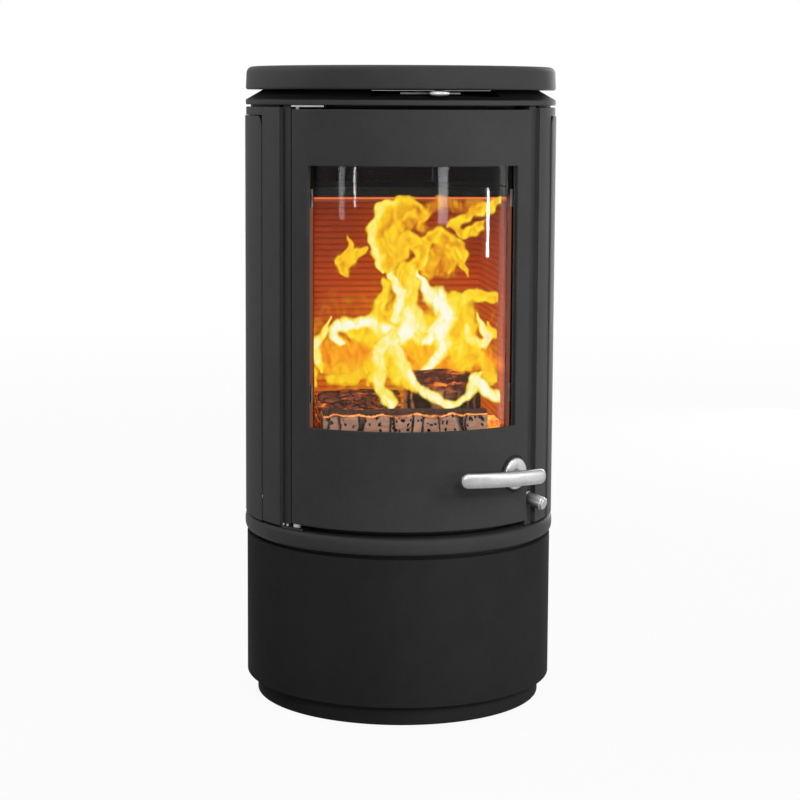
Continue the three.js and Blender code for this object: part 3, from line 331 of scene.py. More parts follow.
charred = {
    "dark": (0.018, 0.006, 0.003), "light": (0.2, 0.062, 0.026), "fibres": (40, 300, 300),
    "inside": (0.004, 0.002, 0.001), "cells": (60, 110, 110), "gap": 0.16, "holes": (90, 90, 90),
    "holeSize": 0.2, "patches": 50.0, "creep": 0.03, "scorchTo": 0.46, "scorchFrom": 0.44,
    "char": (0.02, 0.006, 0.003), "ridges": (42, 150, 190), "hot": (0.48, 0.7), "glowing": (0.38, 0.405),
    "glowEnds": (0.7, 0.6), "strength": 1.0,
    "glow": [(0.0, (0.02, 0.003, 0.001)), (0.25, (0.1, 0.012, 0.002)), (0.5, (0.42, 0.06, 0.004)),
             (0.8, (1, 0.32, 0.03))]}
charredWood = timber("charredWood", charred)
splitWood = timber("splitWood", {
    "dark": (0.28, 0.145, 0.095), "light": (0.46, 0.265, 0.175), "fibres": (60, 130, 200),
    "inside": (0.012, 0.006, 0.004), "cells": (38, 0.5, 2), "gap": 0.06, "holes": (150, 60, 110),
    "holeSize": 0.32, "patches": 130.0, "creep": 0.02, "scorchTo": 0.4262, "scorchFrom": 0.422,
    "char": (0.06, 0.02, 0.01), "ridges": (30, 30, 30), "hot": (0.3, 0.5), "glowing": (0.4237, 0.4246),
    "glowEnds": (0.4266, 0.4261), "strength": 1.1,
    "glow": [(0.0, (0, 0, 0)), (0.4, (0.45, 0.07, 0.004)), (1, (1, 0.36, 0.04))]})
splitEnd = timber("splitEnd", {
    **charred, "dark": (0.16, 0.05, 0.022), "light": (0.56, 0.25, 0.12), "fibres": (60, 130, 200),
    "inside": (0.012, 0.004, 0.002), "cells": (75, 0.5, 2), "gap": 0.2, "holeSize": 0.12, "patches": 60.0,
    "creep": 0.012, "scorchTo": 0.453, "scorchFrom": 0.446, "char": (0.035, 0.009, 0.004),
    "hot": (0.46, 0.68), "glowing": (0.436, 0.452),
    "glow": [(0.0, (0.01, 0.002, 0.001)), *charred["glow"][1:]]})
emberCoal = timber("emberCoal", {
    **charred, "dark": (0.02, 0.006, 0.003), "light": (0.2, 0.04, 0.01), "fibres": (120, 120, 120),
    "inside": (0.01, 0.003, 0.001), "cells": (110, 110, 110), "gap": 0.2, "holeSize": 0.1, "creep": 0.01,
    "scorchTo": 0.5, "scorchFrom": 0.49, "ridges": (70, 70, 70), "hot": (0.32, 0.6), "glowing": (0.36, 0.38),
    "strength": 1.2, "glow": [(0.0, (0.35, 0.04, 0.003)), (0.5, (0.95, 0.26, 0.02)), (1, (1, 0.6, 0.1))]})

# Flame: the heat at each point, made uneven by noise that is drawn out upwards and curls, runs over a
# ramp from orange over yellow to nearly white; where the cover is thin the flame frays out.
flameMaterial, flameTree, flamePlace = startMaterial(
    "flame", Roughness=1.0, Specular_IOR_Level=0.0, Base_Color=(0, 0, 0), Emission_Strength=1.0)
coverMark = node(flameTree, "Attribute", attribute_name="cover").outputs["Fac"]
heatMark = node(flameTree, "Attribute", attribute_name="hotness").outputs["Fac"]
flameStretch = node(flameTree, "Mapping", Vector=flamePlace, Scale=(60, 20, 34))
tear = node(flameTree, "TexNoise", Vector=flameStretch, Scale=1.0, Detail=5.0, Roughness=0.6, Distortion=1.6)
torn = spread(flameTree, tear, 0.3, 0.7, -0.5, 0.5)
frayed = maths(flameTree, "MULTIPLY_ADD", torn, 0.42, coverMark)
dress(flameTree, Alpha=spread(flameTree, frayed, 0.06, 0.84, interpolation_type="SMOOTHSTEP"))
dress(flameTree, Emission_Color=ramp(flameTree, maths(flameTree, "MULTIPLY_ADD", torn, 0.28, heatMark), [
    (0.05, (0.75, 0.13, 0.005)), (0.25, (1.0, 0.3, 0.008)), (0.42, (1.0, 0.52, 0.012)),
    (0.6, (1.0, 0.72, 0.02)), (0.76, (1.0, 0.88, 0.22)), (0.9, (1.0, 0.98, 0.78))]))
print("materials made")


def gridFaces(rows, columns, closeRows, closeColumns):
    # Four-cornered faces between neighbouring rows and columns of a grid.
    i = np.arange(rows if closeRows else rows - 1)[:, None]
    j = np.arange(columns if closeColumns else columns - 1)[None, :]
    right, down = (j + 1) % columns, (i + 1) % rows
    corners = [i * columns + j, i * columns + right, down * columns + right, down * columns + j]
    return np.stack(np.broadcast_arrays(*corners), -1).reshape(-1, 4)


def addPiece(name, grids, finish, replaced=(), *more):
    # A piece of several grids: (points in mm, closeRows, closeColumns) each.
    points, faces, start = [], [], 0
    for array, *closed in grids:
        points.append(array.reshape(-1, 3))
        faces.append(gridFaces(*array.shape[:2], *closed) + start)
        start += len(points[-1])
    addShell(name, np.concatenate(points), np.concatenate(faces), finish, replaced, *more)


def addShell(name, points, faces, finish, replaced=(), sharp=35.0, body="stove", marks=None):
    # Doubles are merged, so seams and poles close, open ends of a closed profile are capped flat,
    # and the faces are turned outwards. finish is the material and the name of its slot; the slot name is not
    # used.
    mesh = bpy.data.meshes.new(name)
    mesh.from_pydata(points / 1000, [], faces)
    for label, values in (marks or {}).items():
        mesh.attributes.new(label, "FLOAT", "POINT").data.foreach_set("value", values)
    shell = bmesh.new()
    shell.from_mesh(mesh)
    bmesh.ops.remove_doubles(shell, verts=shell.verts, dist=2e-6)
    bmesh.ops.dissolve_degenerate(shell, edges=shell.edges, dist=1e-7)
    openEdges = [edge for edge in shell.edges if edge.is_boundary]
    if openEdges:
        bmesh.ops.holes_fill(shell, edges=openEdges, sides=0)
    bmesh.ops.recalc_face_normals(shell, faces=shell.faces)
    for edge in shell.edges:
        edge.smooth = len(edge.link_faces) == 2 and edge.calc_face_angle(0) < math.radians(sharp)
    for face in shell.faces:
        face.smooth = True
    shell.to_mesh(mesh)
    shell.free()
    material, slotName = finish
    mesh.materials.append(material)
    piece = bpy.data.objects.new(name, mesh)
    scene.collection.objects.link(piece)
    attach(piece, body)
    if replaced:
        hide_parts(*replaced)


def rotated(x, y, degrees):
    turn = math.radians(degrees)
    return x * math.cos(turn) - y * math.sin(turn), x * math.sin(turn) + y * math.cos(turn)


def smooth(share):
    # A step from 0 to 1 that starts and ends gently: three squares less two cubes of the share.
    share = np.clip(share, 0, 1)
    return share * share * (3 - 2 * share)


def fuller(wave, power):
    # A wave to a power, with its sign kept; a power below one makes a round form fuller.
    return np.sign(wave) * np.abs(wave) ** power


def rounded(corners, radius, steps=5):
    # A closed outline with each corner rounded: an arc that touches both sides at the same distance.
    # radius is one number, or one for each corner.
    corners = np.asarray(corners, float)
    outline = []
    for k, (corner, wanted) in enumerate(zip(corners, np.broadcast_to(radius, len(corners)))):
        before, after = corners[k - 1] - corner, corners[(k + 1) % len(corners)] - corner
        lengthBefore, lengthAfter = np.hypot(*before), np.hypot(*after)
        before, after = before / lengthBefore, after / lengthAfter
        half = math.acos(float(np.clip(before @ after, -1, 1))) / 2
        reach = min(wanted / math.tan(half), lengthBefore * 0.49, lengthAfter * 0.49)
        if reach < 0.01:
            outline.append(corner)
            continue
        bisector = (before + after) / np.hypot(*(before + after))
        middle = corner + bisector * reach * math.tan(half) / math.sin(half)
        first = corner + before * reach - middle
        last = corner + after * reach - middle
        turn = math.atan2(first[0] * last[1] - first[1] * last[0], first @ last)
        degrees = np.linspace(0, math.degrees(turn), steps)
        outline += [middle + rotated(*first, each) for each in degrees]
    return np.array(outline)


def turned(outline, fromAngle=0.0, toAngle=360.0, steps=240):
    # A profile (radius, height) carried round the upright axis; angles count from -Y towards +X.
    whole = toAngle - fromAngle >= 359.99
    angles = np.radians(np.linspace(fromAngle, toAngle, steps + 1))[:-1 if whole else None, None]
    radius, height = outline.T
    x = radius * np.sin(angles)
    return np.stack([x, -radius * np.cos(angles), np.broadcast_to(height, x.shape)], -1), whole, True


def spunAbout(outline, origin, direction, steps=96):
    # A profile (radius, distance) carried round a slanting axis through origin.
    ahead = np.asarray(direction, float) / np.linalg.norm(direction)
    side = np.cross(ahead, [0, 0, 1]) if abs(ahead[2]) < 0.9 else np.array([1.0, 0, 0])
    side = side / np.linalg.norm(side)
    up = np.cross(side, ahead)
    angles = np.linspace(0, 2 * math.pi, steps, endpoint=False)[:, None, None]
    radius, distance = outline.T[..., None]
    around = radius * (np.cos(angles) * side + np.sin(angles) * up)
    return np.asarray(origin) + distance * ahead + around, True, True


def outlineOf(values, corners, steps=5):
    # A rounded outline whose corners are named by two of the piece's values each.
    pairs = [corner.split() for corner in corners.split(", ")]
    return rounded([[values[across], values[along]] for across, along in pairs], values["edge"], steps)


def hoop(values):
    # A ring of oblong section round the upright axis, or the part of it in span.
    outline = outlineOf(values, "inner base, outer base, outer top, inner top")
    return turned(outline, *values.get("span", ()))


def tube(values, axis, steps=96):
    # A tube round an axis (origin, direction), from the distance base to top.
    return spunAbout(outlineOf(values, "inner base, outer base, outer top, inner top"), *axis, steps)


def loops(values):
    # The rim loops of a plate that spans half degrees to both sides at the radius along: oblongs drawn
    # in by inset, with rounded corners from the bottom left on. counts are points per side and corner.
    def at(inset):
        reach = math.radians(values["half"]) * values.get("along", values["front"]) - inset
        radii = np.maximum(np.broadcast_to(values["corner"], 4) - inset, 0.05)
        arcs = []
        for k, (x, z) in enumerate(((-1, 1), (1, 1), (1, -1), (-1, -1))):
            t = np.radians(np.linspace(180, 270, values["counts"][1]) + 90 * k)
            level = values["base"] + inset if z > 0 else values["top"] - inset
            arcs.append(np.stack([x * reach + radii[k] * (np.cos(t) - x),
                                  level + radii[k] * (np.sin(t) + z)], -1))
        t = np.linspace(0, 1, values["counts"][0] + 2)[1:-1, None]
        return np.concatenate([part for a, b in zip(arcs, arcs[1:] + arcs[:1])
                               for part in (a, a[-1] * (1 - t) + b[0] * t)])
    return at


def holeIn(values):
    # The rim of a round hole at the middle of a plate: each point lies on the ray to the outer loop.
    def at(inset):
        rays = loops(values)(0) - [0, values["level"]]
        rays = rays / np.linalg.norm(rays, axis=1, keepdims=True)
        return [0, values["level"]] + rays * (values["hole"] - inset)
    return at


def curvedPlate(values, inner=None, middle=0.0, rings=14, dish=None, backRings=None):
    # A plate bent round the upright axis. Its loops and those of its opening hold the distance along
    # the face in mm and the height. The section runs over the front face, round a quarter circle of
    # radius edge at each rim, and over the back face. middle is the angle of distance 0.
    outer, front, back, edge = loops(values), values["front"], values["back"], values["edge"]
    rim = outer(edge)
    hub = inner(-edge) if inner else np.broadcast_to((rim.max(0) + rim.min(0)) / 2, rim.shape)
    quarter = np.linspace(0, math.pi / 2, 5)
    falling, rising = edge * (1 - np.sin(quarter)), edge * (1 - np.cos(quarter))

    def span(fromLoop, toLoop, count):
        share = np.linspace(0, 1, count)[:, None, None]
        return fromLoop * (1 - share) + toLoop * share

    rows = [(loop, front) for loop in span(hub, rim, rings)[:-1]]
    rows += [(outer(f), front - r) for f, r in zip(falling, rising)]
    rows += [(outer(r), back + f) for f, r in zip(falling, rising)]
    rows += [(loop, back) for loop in span(rim, hub, backRings or rings)[1:]]
    if inner:
        # round the rim of the opening, back to front
        rows += [(inner(-f), back + r) for f, r in zip(falling[1:], rising[1:])]
        rows += [(inner(-r), front - f) for f, r in zip(falling[:-1], rising[:-1])]
    along, height = np.moveaxis(np.stack([loop for loop, _ in rows]), -1, 0)
    radius = np.array([[distance] for _, distance in rows]) + np.zeros_like(along)
    if dish:
        radius = radius - dish(along, height) * (radius > (front + back) / 2)
    angle = along / front + math.radians(middle)
    return np.stack([radius * np.sin(angle), -radius * np.cos(angle), height], -1), inner is not None, True


def pointAt(radius, angle, height):
    turn = math.radians(angle)
    return np.array([radius * math.sin(turn), -radius * math.cos(turn), height])


satin, cast, panel = (satinPaint, "black_paint"), (castPaint, "cast_black"), (panelPaint, "black_paint")
deep, bright, small = (deepPaint, "deep_black"), (brightSteel, "brushed_steel"), (smallSteel, "brushed_steel")

plinth = {"axis": 0, "radius": 202.5, "bore": 198.5, "base": 0, "top": 28.0, "floor": 4.0,
          "edge": [0, 1.5, 1.5, 1, 1, 0]}
plinthOutline = outlineOf(plinth, "axis base, radius base, radius top, bore top, bore floor, axis floor")
addPiece("plinthRing", [turned(plinthOutline)], satin, ["plinth"])

casing = {"base": 28.3, "top": 232.5, "outer": 217.5, "bore": 215.5, "inner": 190.5, "low": 31.3,
          "high": 229.5, "edge": [0.5, 1.2, 1.2, 0.5, 0.5, 1, 1, 0.5], "open": (-166.0, 166.0, 300),
          "span": (166.0, 194.0, 24)}
casingOutline = outlineOf(
    casing, "inner base, outer base, outer top, inner top, inner high, bore high, bore low, inner low")
# the back is a plate of its own, with the hole for the air spigot, between two strips
patch = {"half": 14.0, "base": 29.5, "top": 231.3, "front": casing["outer"], "back": casing["bore"],
         "edge": 0.2, "corner": 0, "counts": (40, 10), "level": 90.0, "hole": 40.4}
addPiece("pedestalCasing", [
    turned(casingOutline, *casing["open"]),
    curvedPlate(patch, holeIn(patch), 180, 10),
    hoop({**casing, "top": casing["low"], "edge": [0.5, 1.2, 0.3, 0.5]}),
    hoop({**casing, "base": casing["high"], "edge": [0.5, 0.3, 1.2, 0.5]}),
], satin, ["base_casing"])

deck = {"base": 237.7, "height": 23.3, "radius": 220.3, "bulge": 8.0, "bore": 44.5, "fullness": 0.7}
lean = np.linspace(-math.pi / 2, math.pi / 2, 33)
deckRim = np.stack([
    deck["radius"] - deck["bulge"] * (1 - fuller(np.cos(lean), deck["fullness"])),
    deck["base"] + deck["height"] / 2 * (1 + fuller(np.sin(lean), deck["fullness"]))], -1)
addPiece("deckRing", [turned(np.concatenate([
    [[deck["bore"], deck["base"]]], deckRim, [[deck["bore"], deck["base"] + deck["height"]]]]))],
    cast, ["deck_plate"])
print("pedestal and deck made")

panels = {"front": 218.0, "back": 216.0, "half": 5.9, "middle": 60.5, "base": 264.0, "top": 837.0,
          "edge": 0.7, "corner": 1, "counts": (30, 4), "from": 54.6, "to": 66.4}
fold = {"inner": 205.0, "outer": 217.4, "base": panels["base"], "top": panels["top"], "edge": 0.4, "to": 55.2}
# a narrow band of the panel runs on over the jacket, to the middle of the back
band = {"inner": panels["back"], "outer": panels["front"], "base": 825.8, "top": panels["top"], "edge": 0.7,
        "to": 179.9}
for word, side in (("Left", -1), ("Right", 1)):
    fold["span"] = (*sorted((side * panels["from"], side * fold["to"])), 4)
    band["span"] = (*sorted((side * panels["to"], side * band["to"])), 120)
    sheet = curvedPlate(panels, None, side * panels["middle"], 12)
    addPiece("sidePanel" + word, [sheet, hoop(fold), hoop(band)], panel, ["side_panel_" + word.lower()])

pillar = {"outer": 212.0, "inner": 190.5, "base": 261.3, "top": 839.7, "edge": 0.8, "span": (49.5, 54.5, 10)}
addPiece("pillarRight", [hoop(pillar)], (pillarPaint, "deep_black"), ["pillar_right"])

jacket = {"front": 219.5, "back": 217.5, "half": 113.5, "base": 263.0, "top": 825.0, "edge": 0.7,
          "corner": (1, 1, 14, 14), "counts": (120, 12), "hole": 82.0, "level": 738.0}
addPiece("rearJacket", [curvedPlate(jacket, holeIn(jacket), 180, 60)], panel, ["rear_jacket"])

flueAxis, airAxis = (((0, 0, plate["level"]), (0, 1, 0)) for plate in (jacket, patch))
collar = {"outer": 75.0, "bore": 72.5, "front": 159.3, "back": 251.5, "from": 239.5, "to": 245.5,
          "bead": 77.0, "edge": 1.0}
collarOutline = outlineOf(
    collar, "bore front, outer front, outer from, bead from, bead to, outer to, outer back, bore back")
addPiece("flueCollar", [spunAbout(collarOutline, *flueAxis, 144)], deep, ["flue_collar"])
spigot = {"inner": 38.0, "outer": 40.0, "base": 41.0, "top": 234.5, "edge": 0.7}
addPiece("airSpigot", [tube(spigot, airAxis)], (plainSteel, "raw_steel"), ["air_spigot"])
print("outer sheets made")

upper = {"base": 840.0, "rim": 847.0, "slot": 851.7, "top": 860.7, "radius": 218.5, "bore": 191.0,
         "slope": 30.0, "edge": [0.3, 1.8, 1.8, 0.1, 0.3], "span": (33.1, 342.3, 200)}
for place in ("slot", "top"):
    # the collar narrows from the rim upwards by its slope
    rise = upper[place] - upper["rim"]
    upper[place + "Radius"] = upper["radius"] - rise / math.tan(math.radians(upper["slope"]))
lowerRing = outlineOf(upper, "bore base, radius base, radius rim, slotRadius slot, bore slot")
upperRing = outlineOf({**upper, "edge": 0.1}, "bore slot, slotRadius slot, topRadius top, bore top")
addPiece("upperRing", [turned(lowerRing), turned(upperRing, *upper["span"])], (ringPaint, "deep_black"),
         ["upper_ring"])
# a dark lip under the ring, behind the gap over the side panels and the jacket, which it closes to view:
# painted shade, a near-black sheet put where the gap lies in shadow
shadowLip = {"inner": 206.0, "outer": 211.5, "base": 837.4, "top": 839.9, "edge": 0.3, "span": (57.0, 303.0, 160)}
addPiece("ringLip", [hoop(shadowLip)], deep)

lid = {"base": 861.0, "top": 893.0, "radius": 218.5, "rim": 217.0, "hollow": 190.5, "roof": 881.0,
       "bore": 72.0, "seat": 78.3, "ledge": 885.0, "edge": [0.5, 2, 1, 3, 9, 1.2, 0.5, 0.5]}
lidOutline = outlineOf(
    lid, "bore roof, hollow roof, hollow base, radius base, rim top, seat top, seat ledge, bore ledge", 9)
addPiece("lidPlate", [turned(lidOutline, steps=300)], cast, ["top_plate"])
disc = {"inner": 0, "outer": 78.0, "base": 885.3, "top": lid["top"], "edge": [0, 0.8, 1.2, 0]}
addPiece("lidDisc", [hoop(disc)], cast, ["top_blanking_disc"])

pebble = {"angle": 7.7, "middle": 213.5, "level": 856.0, "width": 30.0, "depth": 16.0, "height": 7.6,
          "girth": 0.8, "fullness": 0.9}
across, around = np.meshgrid(np.linspace(0, math.pi, 33), np.linspace(0, 2 * math.pi, 64, endpoint=False))
# a flattened superellipsoid: powers below one make it fuller than an ellipsoid
pebbleX, pebbleY = (fuller(np.sin(across), pebble["girth"]) * fuller(wave, pebble["fullness"]) * size / 2
                    for wave, size in ((np.cos(around), pebble["width"]), (np.sin(around), pebble["depth"])))
pebbleZ = fuller(np.cos(across), pebble["fullness"]) * pebble["height"] / 2
pebblePoints = np.stack([*rotated(pebbleX, pebbleY - pebble["middle"], pebble["angle"]),
                         pebbleZ + pebble["level"]], -1)
addPiece("airwashPebble", [(pebblePoints, True, False)], bright, ["airwash_knob"], 60, "airwash_lever")
print("ring and lid made")

door = {"base": 270.3, "top": 834.6, "half": 48.25, "front": 218.0, "back": 212.0, "edge": 1.4, "corner": 2.5,
        "counts": (200, 8), "boss": 40.5, "bossLevel": 340.0, "recess": 24.0, "depth": 3.4, "step": 2.4}
window = {**door, "half": 40.7, "base": 406.2, "top": 759.7, "corner": 3.0}


def bossRecess(along, height):
    # A shallow round dish for the handle's boss: full depth inside, a smooth step at its rim.
    reach = np.hypot(along - math.radians(door["boss"]) * door["front"], height - door["bossLevel"])
    return door["depth"] * smooth((door["recess"] - reach) / door["step"] + 0.5)


rim = {"front": 212.05, "back": 203.3, "along": 212.0, "half": 47.6, "base": 274.3, "top": 830.6, "corner": 2,
       "counts": (60, 5), "edge": 0.8, "side": 11.4, "bar": 10.0}
opening = {**rim, "half": rim["half"] - math.degrees(rim["side"] / rim["along"]),
           "base": rim["base"] + rim["bar"], "top": rim["top"] - rim["bar"]}
lug = {"inner": 3.3, "outer": 5.7, "height": 18.0, "edge": 0.3}
pinAxis = ((-153.35, -142.0, 0), (0, 0, 1))
addPiece("doorPanel", [
    curvedPlate(door, loops(window), 0, 60, bossRecess, 20), curvedPlate(rim, loops(opening), 0, 6),
    tube({**lug, "base": door["base"], "top": door["base"] + lug["height"]}, pinAxis, 48),
    tube({**lug, "base": door["top"] - lug["height"], "top": door["top"]}, pinAxis, 48),
], cast, ["door_panel"], 35, "door")

glass = {"front": 208.0, "back": 204.0, "half": 43.2, "base": 396.2, "top": 769.7, "edge": 0.6, "corner": 3.0,
         "counts": (60, 6)}
addPiece("doorGlass", [curvedPlate(glass, None, 0, 40)], (glassMaterial, "clear_glass"), ["door_glass"], 60,
         "door")
print("door made")

handle = {"angle": 40.5, "level": 340.0, "middle": 254.8, "thickness": 11.0, "height": 20.5, "long": 123.0,
          "short": 19.6, "tilt": 2.5, "squareness": 0.62, "tip": 0.35}
endRadius = handle["height"] / 2
tip = endRadius * (1 - np.cos(np.linspace(0, math.pi / 2, 14)))
along = np.concatenate([
    tip - handle["long"], np.linspace(endRadius - handle["long"], handle["short"] - endRadius, 50)[1:-1],
    handle["short"] - tip[::-1]])[:, None]
beyond = np.maximum(np.abs(along - (handle["short"] - handle["long"]) / 2)
                    - ((handle["short"] + handle["long"]) / 2 - endRadius), 0)
fill = np.sqrt(np.maximum(1 - (beyond / endRadius) ** 2, 0))
around = np.linspace(0, 2 * math.pi, 48, endpoint=False)
# the section is a superellipse, which shrinks to a rounded tip at both ends
sectionIn = fuller(np.cos(around), handle["squareness"]) * handle["thickness"] / 2
sectionUp = fuller(np.sin(around), handle["squareness"]) * endRadius
barRadius = handle["middle"] + sectionIn * fill ** handle["tip"]
swing = along / handle["middle"]
barX, barZ = rotated(barRadius * np.sin(swing), sectionUp * fill, -handle["tilt"])
barPoints = np.stack([*rotated(barX, -barRadius * np.cos(swing), handle["angle"]),
                      barZ + handle["level"]], -1)
addPiece("handleBar", [(barPoints, False, True)], bright, ["handle_bar"], 60, "handle")

boss = {"inner": 6.3, "outer": 22.0, "base": 214.9, "top": 222.5, "edge": [0.3, 0.5, 2.4, 0.6]}
bossAxis = ((0, 0, handle["level"]), pointAt(1, handle["angle"], 0))
addPiece("handleBoss", [tube(boss, bossAxis)], bright, ["handle_boss"], 35, "handle")

pull = {"angle": 51.7, "level": 299.0, "tilt": 13.0, "start": 212.0, "axis": 0, "foot": 0.3, "knob": 9.0,
        "waist": 8.0, "neck": 22.95, "shoulder": 23.49, "end": 27.0, "edge": [0, 0.8, 0.5, 0.3, 1.5, 0]}
slant = math.radians(pull["tilt"])
pullAxis = (pointAt(pull["start"], pull["angle"], pull["level"]),
            pointAt(math.cos(slant), pull["angle"], -math.sin(slant)))
knobOutline = outlineOf(pull, "axis foot, knob foot, knob neck, waist shoulder, waist end, axis end")
addPiece("airPullKnob", [spunAbout(knobOutline, *pullAxis)], small, ["primary_air_knob"], 35, "air_pull")
bezel = {"inner": 4.4, "outer": 10.0, "base": -4.5, "top": 0, "edge": [0.2, 0.2, 1.2, 0.3]}
addPiece("airPullBezel", [tube(bezel, pullAxis)], small, ["primary_air_bezel"])
print("handle and pull made")


def waviness(angle, along, seed, count=9):
    # Ridges along the fibres: a sum of sines round the section, each drifting a little along the log.
    rng = np.random.default_rng(seed)
    total = np.zeros(np.broadcast(angle, along).shape)
    for k in range(count):
        turns = rng.integers(3, 26)
        start, drift = rng.uniform(0, 6.28), rng.uniform(-0.02, 0.02)
        total = total + np.sin(turns * angle + start + along * drift) / turns ** 0.5
    return total / 2


def logGrid(section, length, place, turnDegrees, swell, waves, rough, seed, rows=150, columns=180, rings=11):
    # The section carried along X. Its size follows 1 - swell/2 + swell/2 * cosine, the ridges push it
    # in, and rings that shrink to the middle close the two sawn ends.
    closed = np.concatenate([section, section[:1]])
    reach = np.concatenate([[0], np.cumsum(np.hypot(*np.diff(closed, axis=0).T))])
    share = np.linspace(0, reach[-1], columns, endpoint=False)
    outline = np.stack([np.interp(share, reach, side) for side in closed.T], -1)
    middle = outline.mean(0)
    x = np.linspace(-length / 2, length / 2, rows)[:, None]
    girth = 1 - swell / 2 + swell / 2 * np.cos(waves * math.pi * x / length)
    angle = np.arctan2(outline[:, 1] - middle[1], outline[:, 0] - middle[0])
    ridge = 1 - rough * (1 + waviness(angle, x, seed)) * np.minimum(1, outline[:, 1] / 6)
    # a slight round-over where the bark meets the sawn end
    fromEnd = np.minimum(np.arange(rows), np.arange(rows)[::-1])[:, None]
    trim = 1 - 0.03 * np.exp(-fromEnd / 1.5)
    stations = np.clip(np.arange(-rings, rows + rings), 0, rows - 1)
    shrink = np.linspace(0, 1, rings + 1)[:-1]
    scales = np.concatenate([shrink, np.ones(rows), shrink[::-1]])[:, None]
    flat = middle + (outline - middle) * ((girth * ridge * trim)[stations] * scales)[..., None]
    return np.stack([*rotated(x[stations], flat[..., 0], turnDegrees), flat[..., 1]], -1) + place, False, True


def roundLog(depth, height, bumps):
    # Most of an ellipse with a few bumps, cut flat where it lies on the hearth.
    lean = np.radians(np.linspace(-30, 210, 60))
    swell = 1 + 0.05 * np.sin(bumps * (lean + math.pi / 6)) * np.maximum(0, np.sin(lean))
    level = height / 3 + height * 2 / 3 * np.sin(lean) * swell
    return np.stack([depth / 2 * np.cos(lean) * swell, level], -1)


def splitLog(depth, height):
    # Split wood with flat sides: upright in front, slanting on top, rounded at the edges.
    half = depth / 2
    return rounded([[-half, 0], [half, 0], [half + 2, height * 0.35], [half - 10, height * 0.8],
                    [14 - half, height], [3 - half, height - 4]], [1, 1, 6, 6, 3, 2])


hearthLevel = 380.6
# each log: section, length, place, turn in degrees, swell and its waves, roughness, seed
logs = {
    "splitLog": ((splitLog(62, 46), 226, (-6, -115, hearthLevel), 0, 0.04, 3, 0.012, 3),
                 (splitWood, "split_wood"), ["log_front"], 50),
    "charredLogLeft": ((roundLog(58, 62, 3), 118, (-64, -44, hearthLevel), 6, 0.06, 2, 0.05, 5),
                       (charredWood, "charred_wood"), ["log_back_left"], 60),
    "charredLogRight": ((roundLog(66, 88, 4), 108, (58, -38, hearthLevel), -8, 0.06, 3, 0.05, 8),
                        (splitEnd, "charred_wood"), ["log_back_right"], 60),
}
for name, (values, *finish) in logs.items():
    addPiece(name, [logGrid(*values)], *finish)

embers = {"faded": 6.0, "size": (5, 11), "rim": 0.2, "patches": [
    {"from": (52.0, -140.0), "to": (124.0, -60.0), "lift": 6.0, "lumps": 40, "seed": 4},
    {"from": (107.5, -152.0), "to": (126.5, -84.0), "lift": 20.0, "lumps": 26, "seed": 9}]}


def emberPatch(patch):
    # A bed of lumps: each is half a ball, the bed is the highest of them, and it fades to nothing
    # at the rim of the patch.
    (left, front), (right, back) = patch["from"], patch["to"]
    x, y = np.meshgrid(np.linspace(left, right, 90), np.linspace(front, back, 90))
    rng = np.random.default_rng(patch["seed"])
    lumpX = rng.uniform(left + 5, right - 5, patch["lumps"])
    lumpY = rng.uniform(front + 5, back - 5, patch["lumps"])
    lumpSize = rng.uniform(*embers["size"], patch["lumps"])
    apart = np.hypot(x[..., None] - lumpX, y[..., None] - lumpY) / lumpSize
    lumps = (np.sqrt(np.maximum(1 - apart ** 2, 0)) * lumpSize).max(-1)
    shareX, shareY = (x - left) / (right - left), (y - front) / (back - front)
    fade = np.minimum(1, embers["faded"] * np.minimum.reduce([shareX, 1 - shareX, shareY, 1 - shareY]))
    top = hearthLevel + embers["rim"] + fade * (lumps + patch["lift"])
    low = np.full_like(top, hearthLevel - embers["rim"])
    return np.concatenate([np.stack([x, y, top], -1), np.stack([x, y, low], -1)[::-1]]), True, False


addPiece("emberBed", [emberPatch(patch) for patch in embers["patches"]], (emberCoal, "charred_wood"), (), 60)
print("logs and embers made")

view = {"at": (-0.319, -2.9751, 0.8504), "yaw": 5.118, "pitch": 6.471, "roll": 0.214, "lens": 94.68,
        "sensor": 36.0, "shiftX": 0.0466, "shiftY": -0.08, "frame": 800}
cameraPlace = (Matrix.Translation(view["at"]) @ Matrix.Rotation(math.radians(-view["yaw"]), 4, "Z")
               @ Matrix.Rotation(math.radians(90 - view["pitch"]), 4, "X")
               @ Matrix.Rotation(math.radians(view["roll"]), 4, "Z"))


def seenFrom(x, y, z):
    # Where points stand in the 800 by 800 view: turned into the camera's own axes, then divided by
    # their distance ahead.
    away = np.stack([x, y, z], -1) / 1000 - view["at"]
    right, up, back = np.moveaxis(away @ np.array(cameraPlace.to_3x3()), -1, 0)
    reach = view["lens"] / view["sensor"]
    return (view["frame"] * (0.5 - view["shiftX"] - reach * right / back),
            view["frame"] * (0.5 + view["shiftY"] + reach * up / back))


def smoothPath(points, count):
    # A curve through the points: cubic pieces whose slopes are those between each point's neighbours.
    points = np.asarray(points, float)
    padded = np.concatenate([2 * points[:1] - points[1:2], points, 2 * points[-1:] - points[-2:-1]])
    t = np.linspace(0, len(points) - 1 - 1e-9, count)
    i = t.astype(int)
    f = (t - i)[:, None]
    a, b, c, d = (padded[i + k] for k in range(4))
    square, cube = 2 * a - 5 * b + 4 * c - d, 3 * b - a - 3 * c + d
    return 0.5 * (2 * b + (c - a) * f + square * f ** 2 + cube * f ** 3)


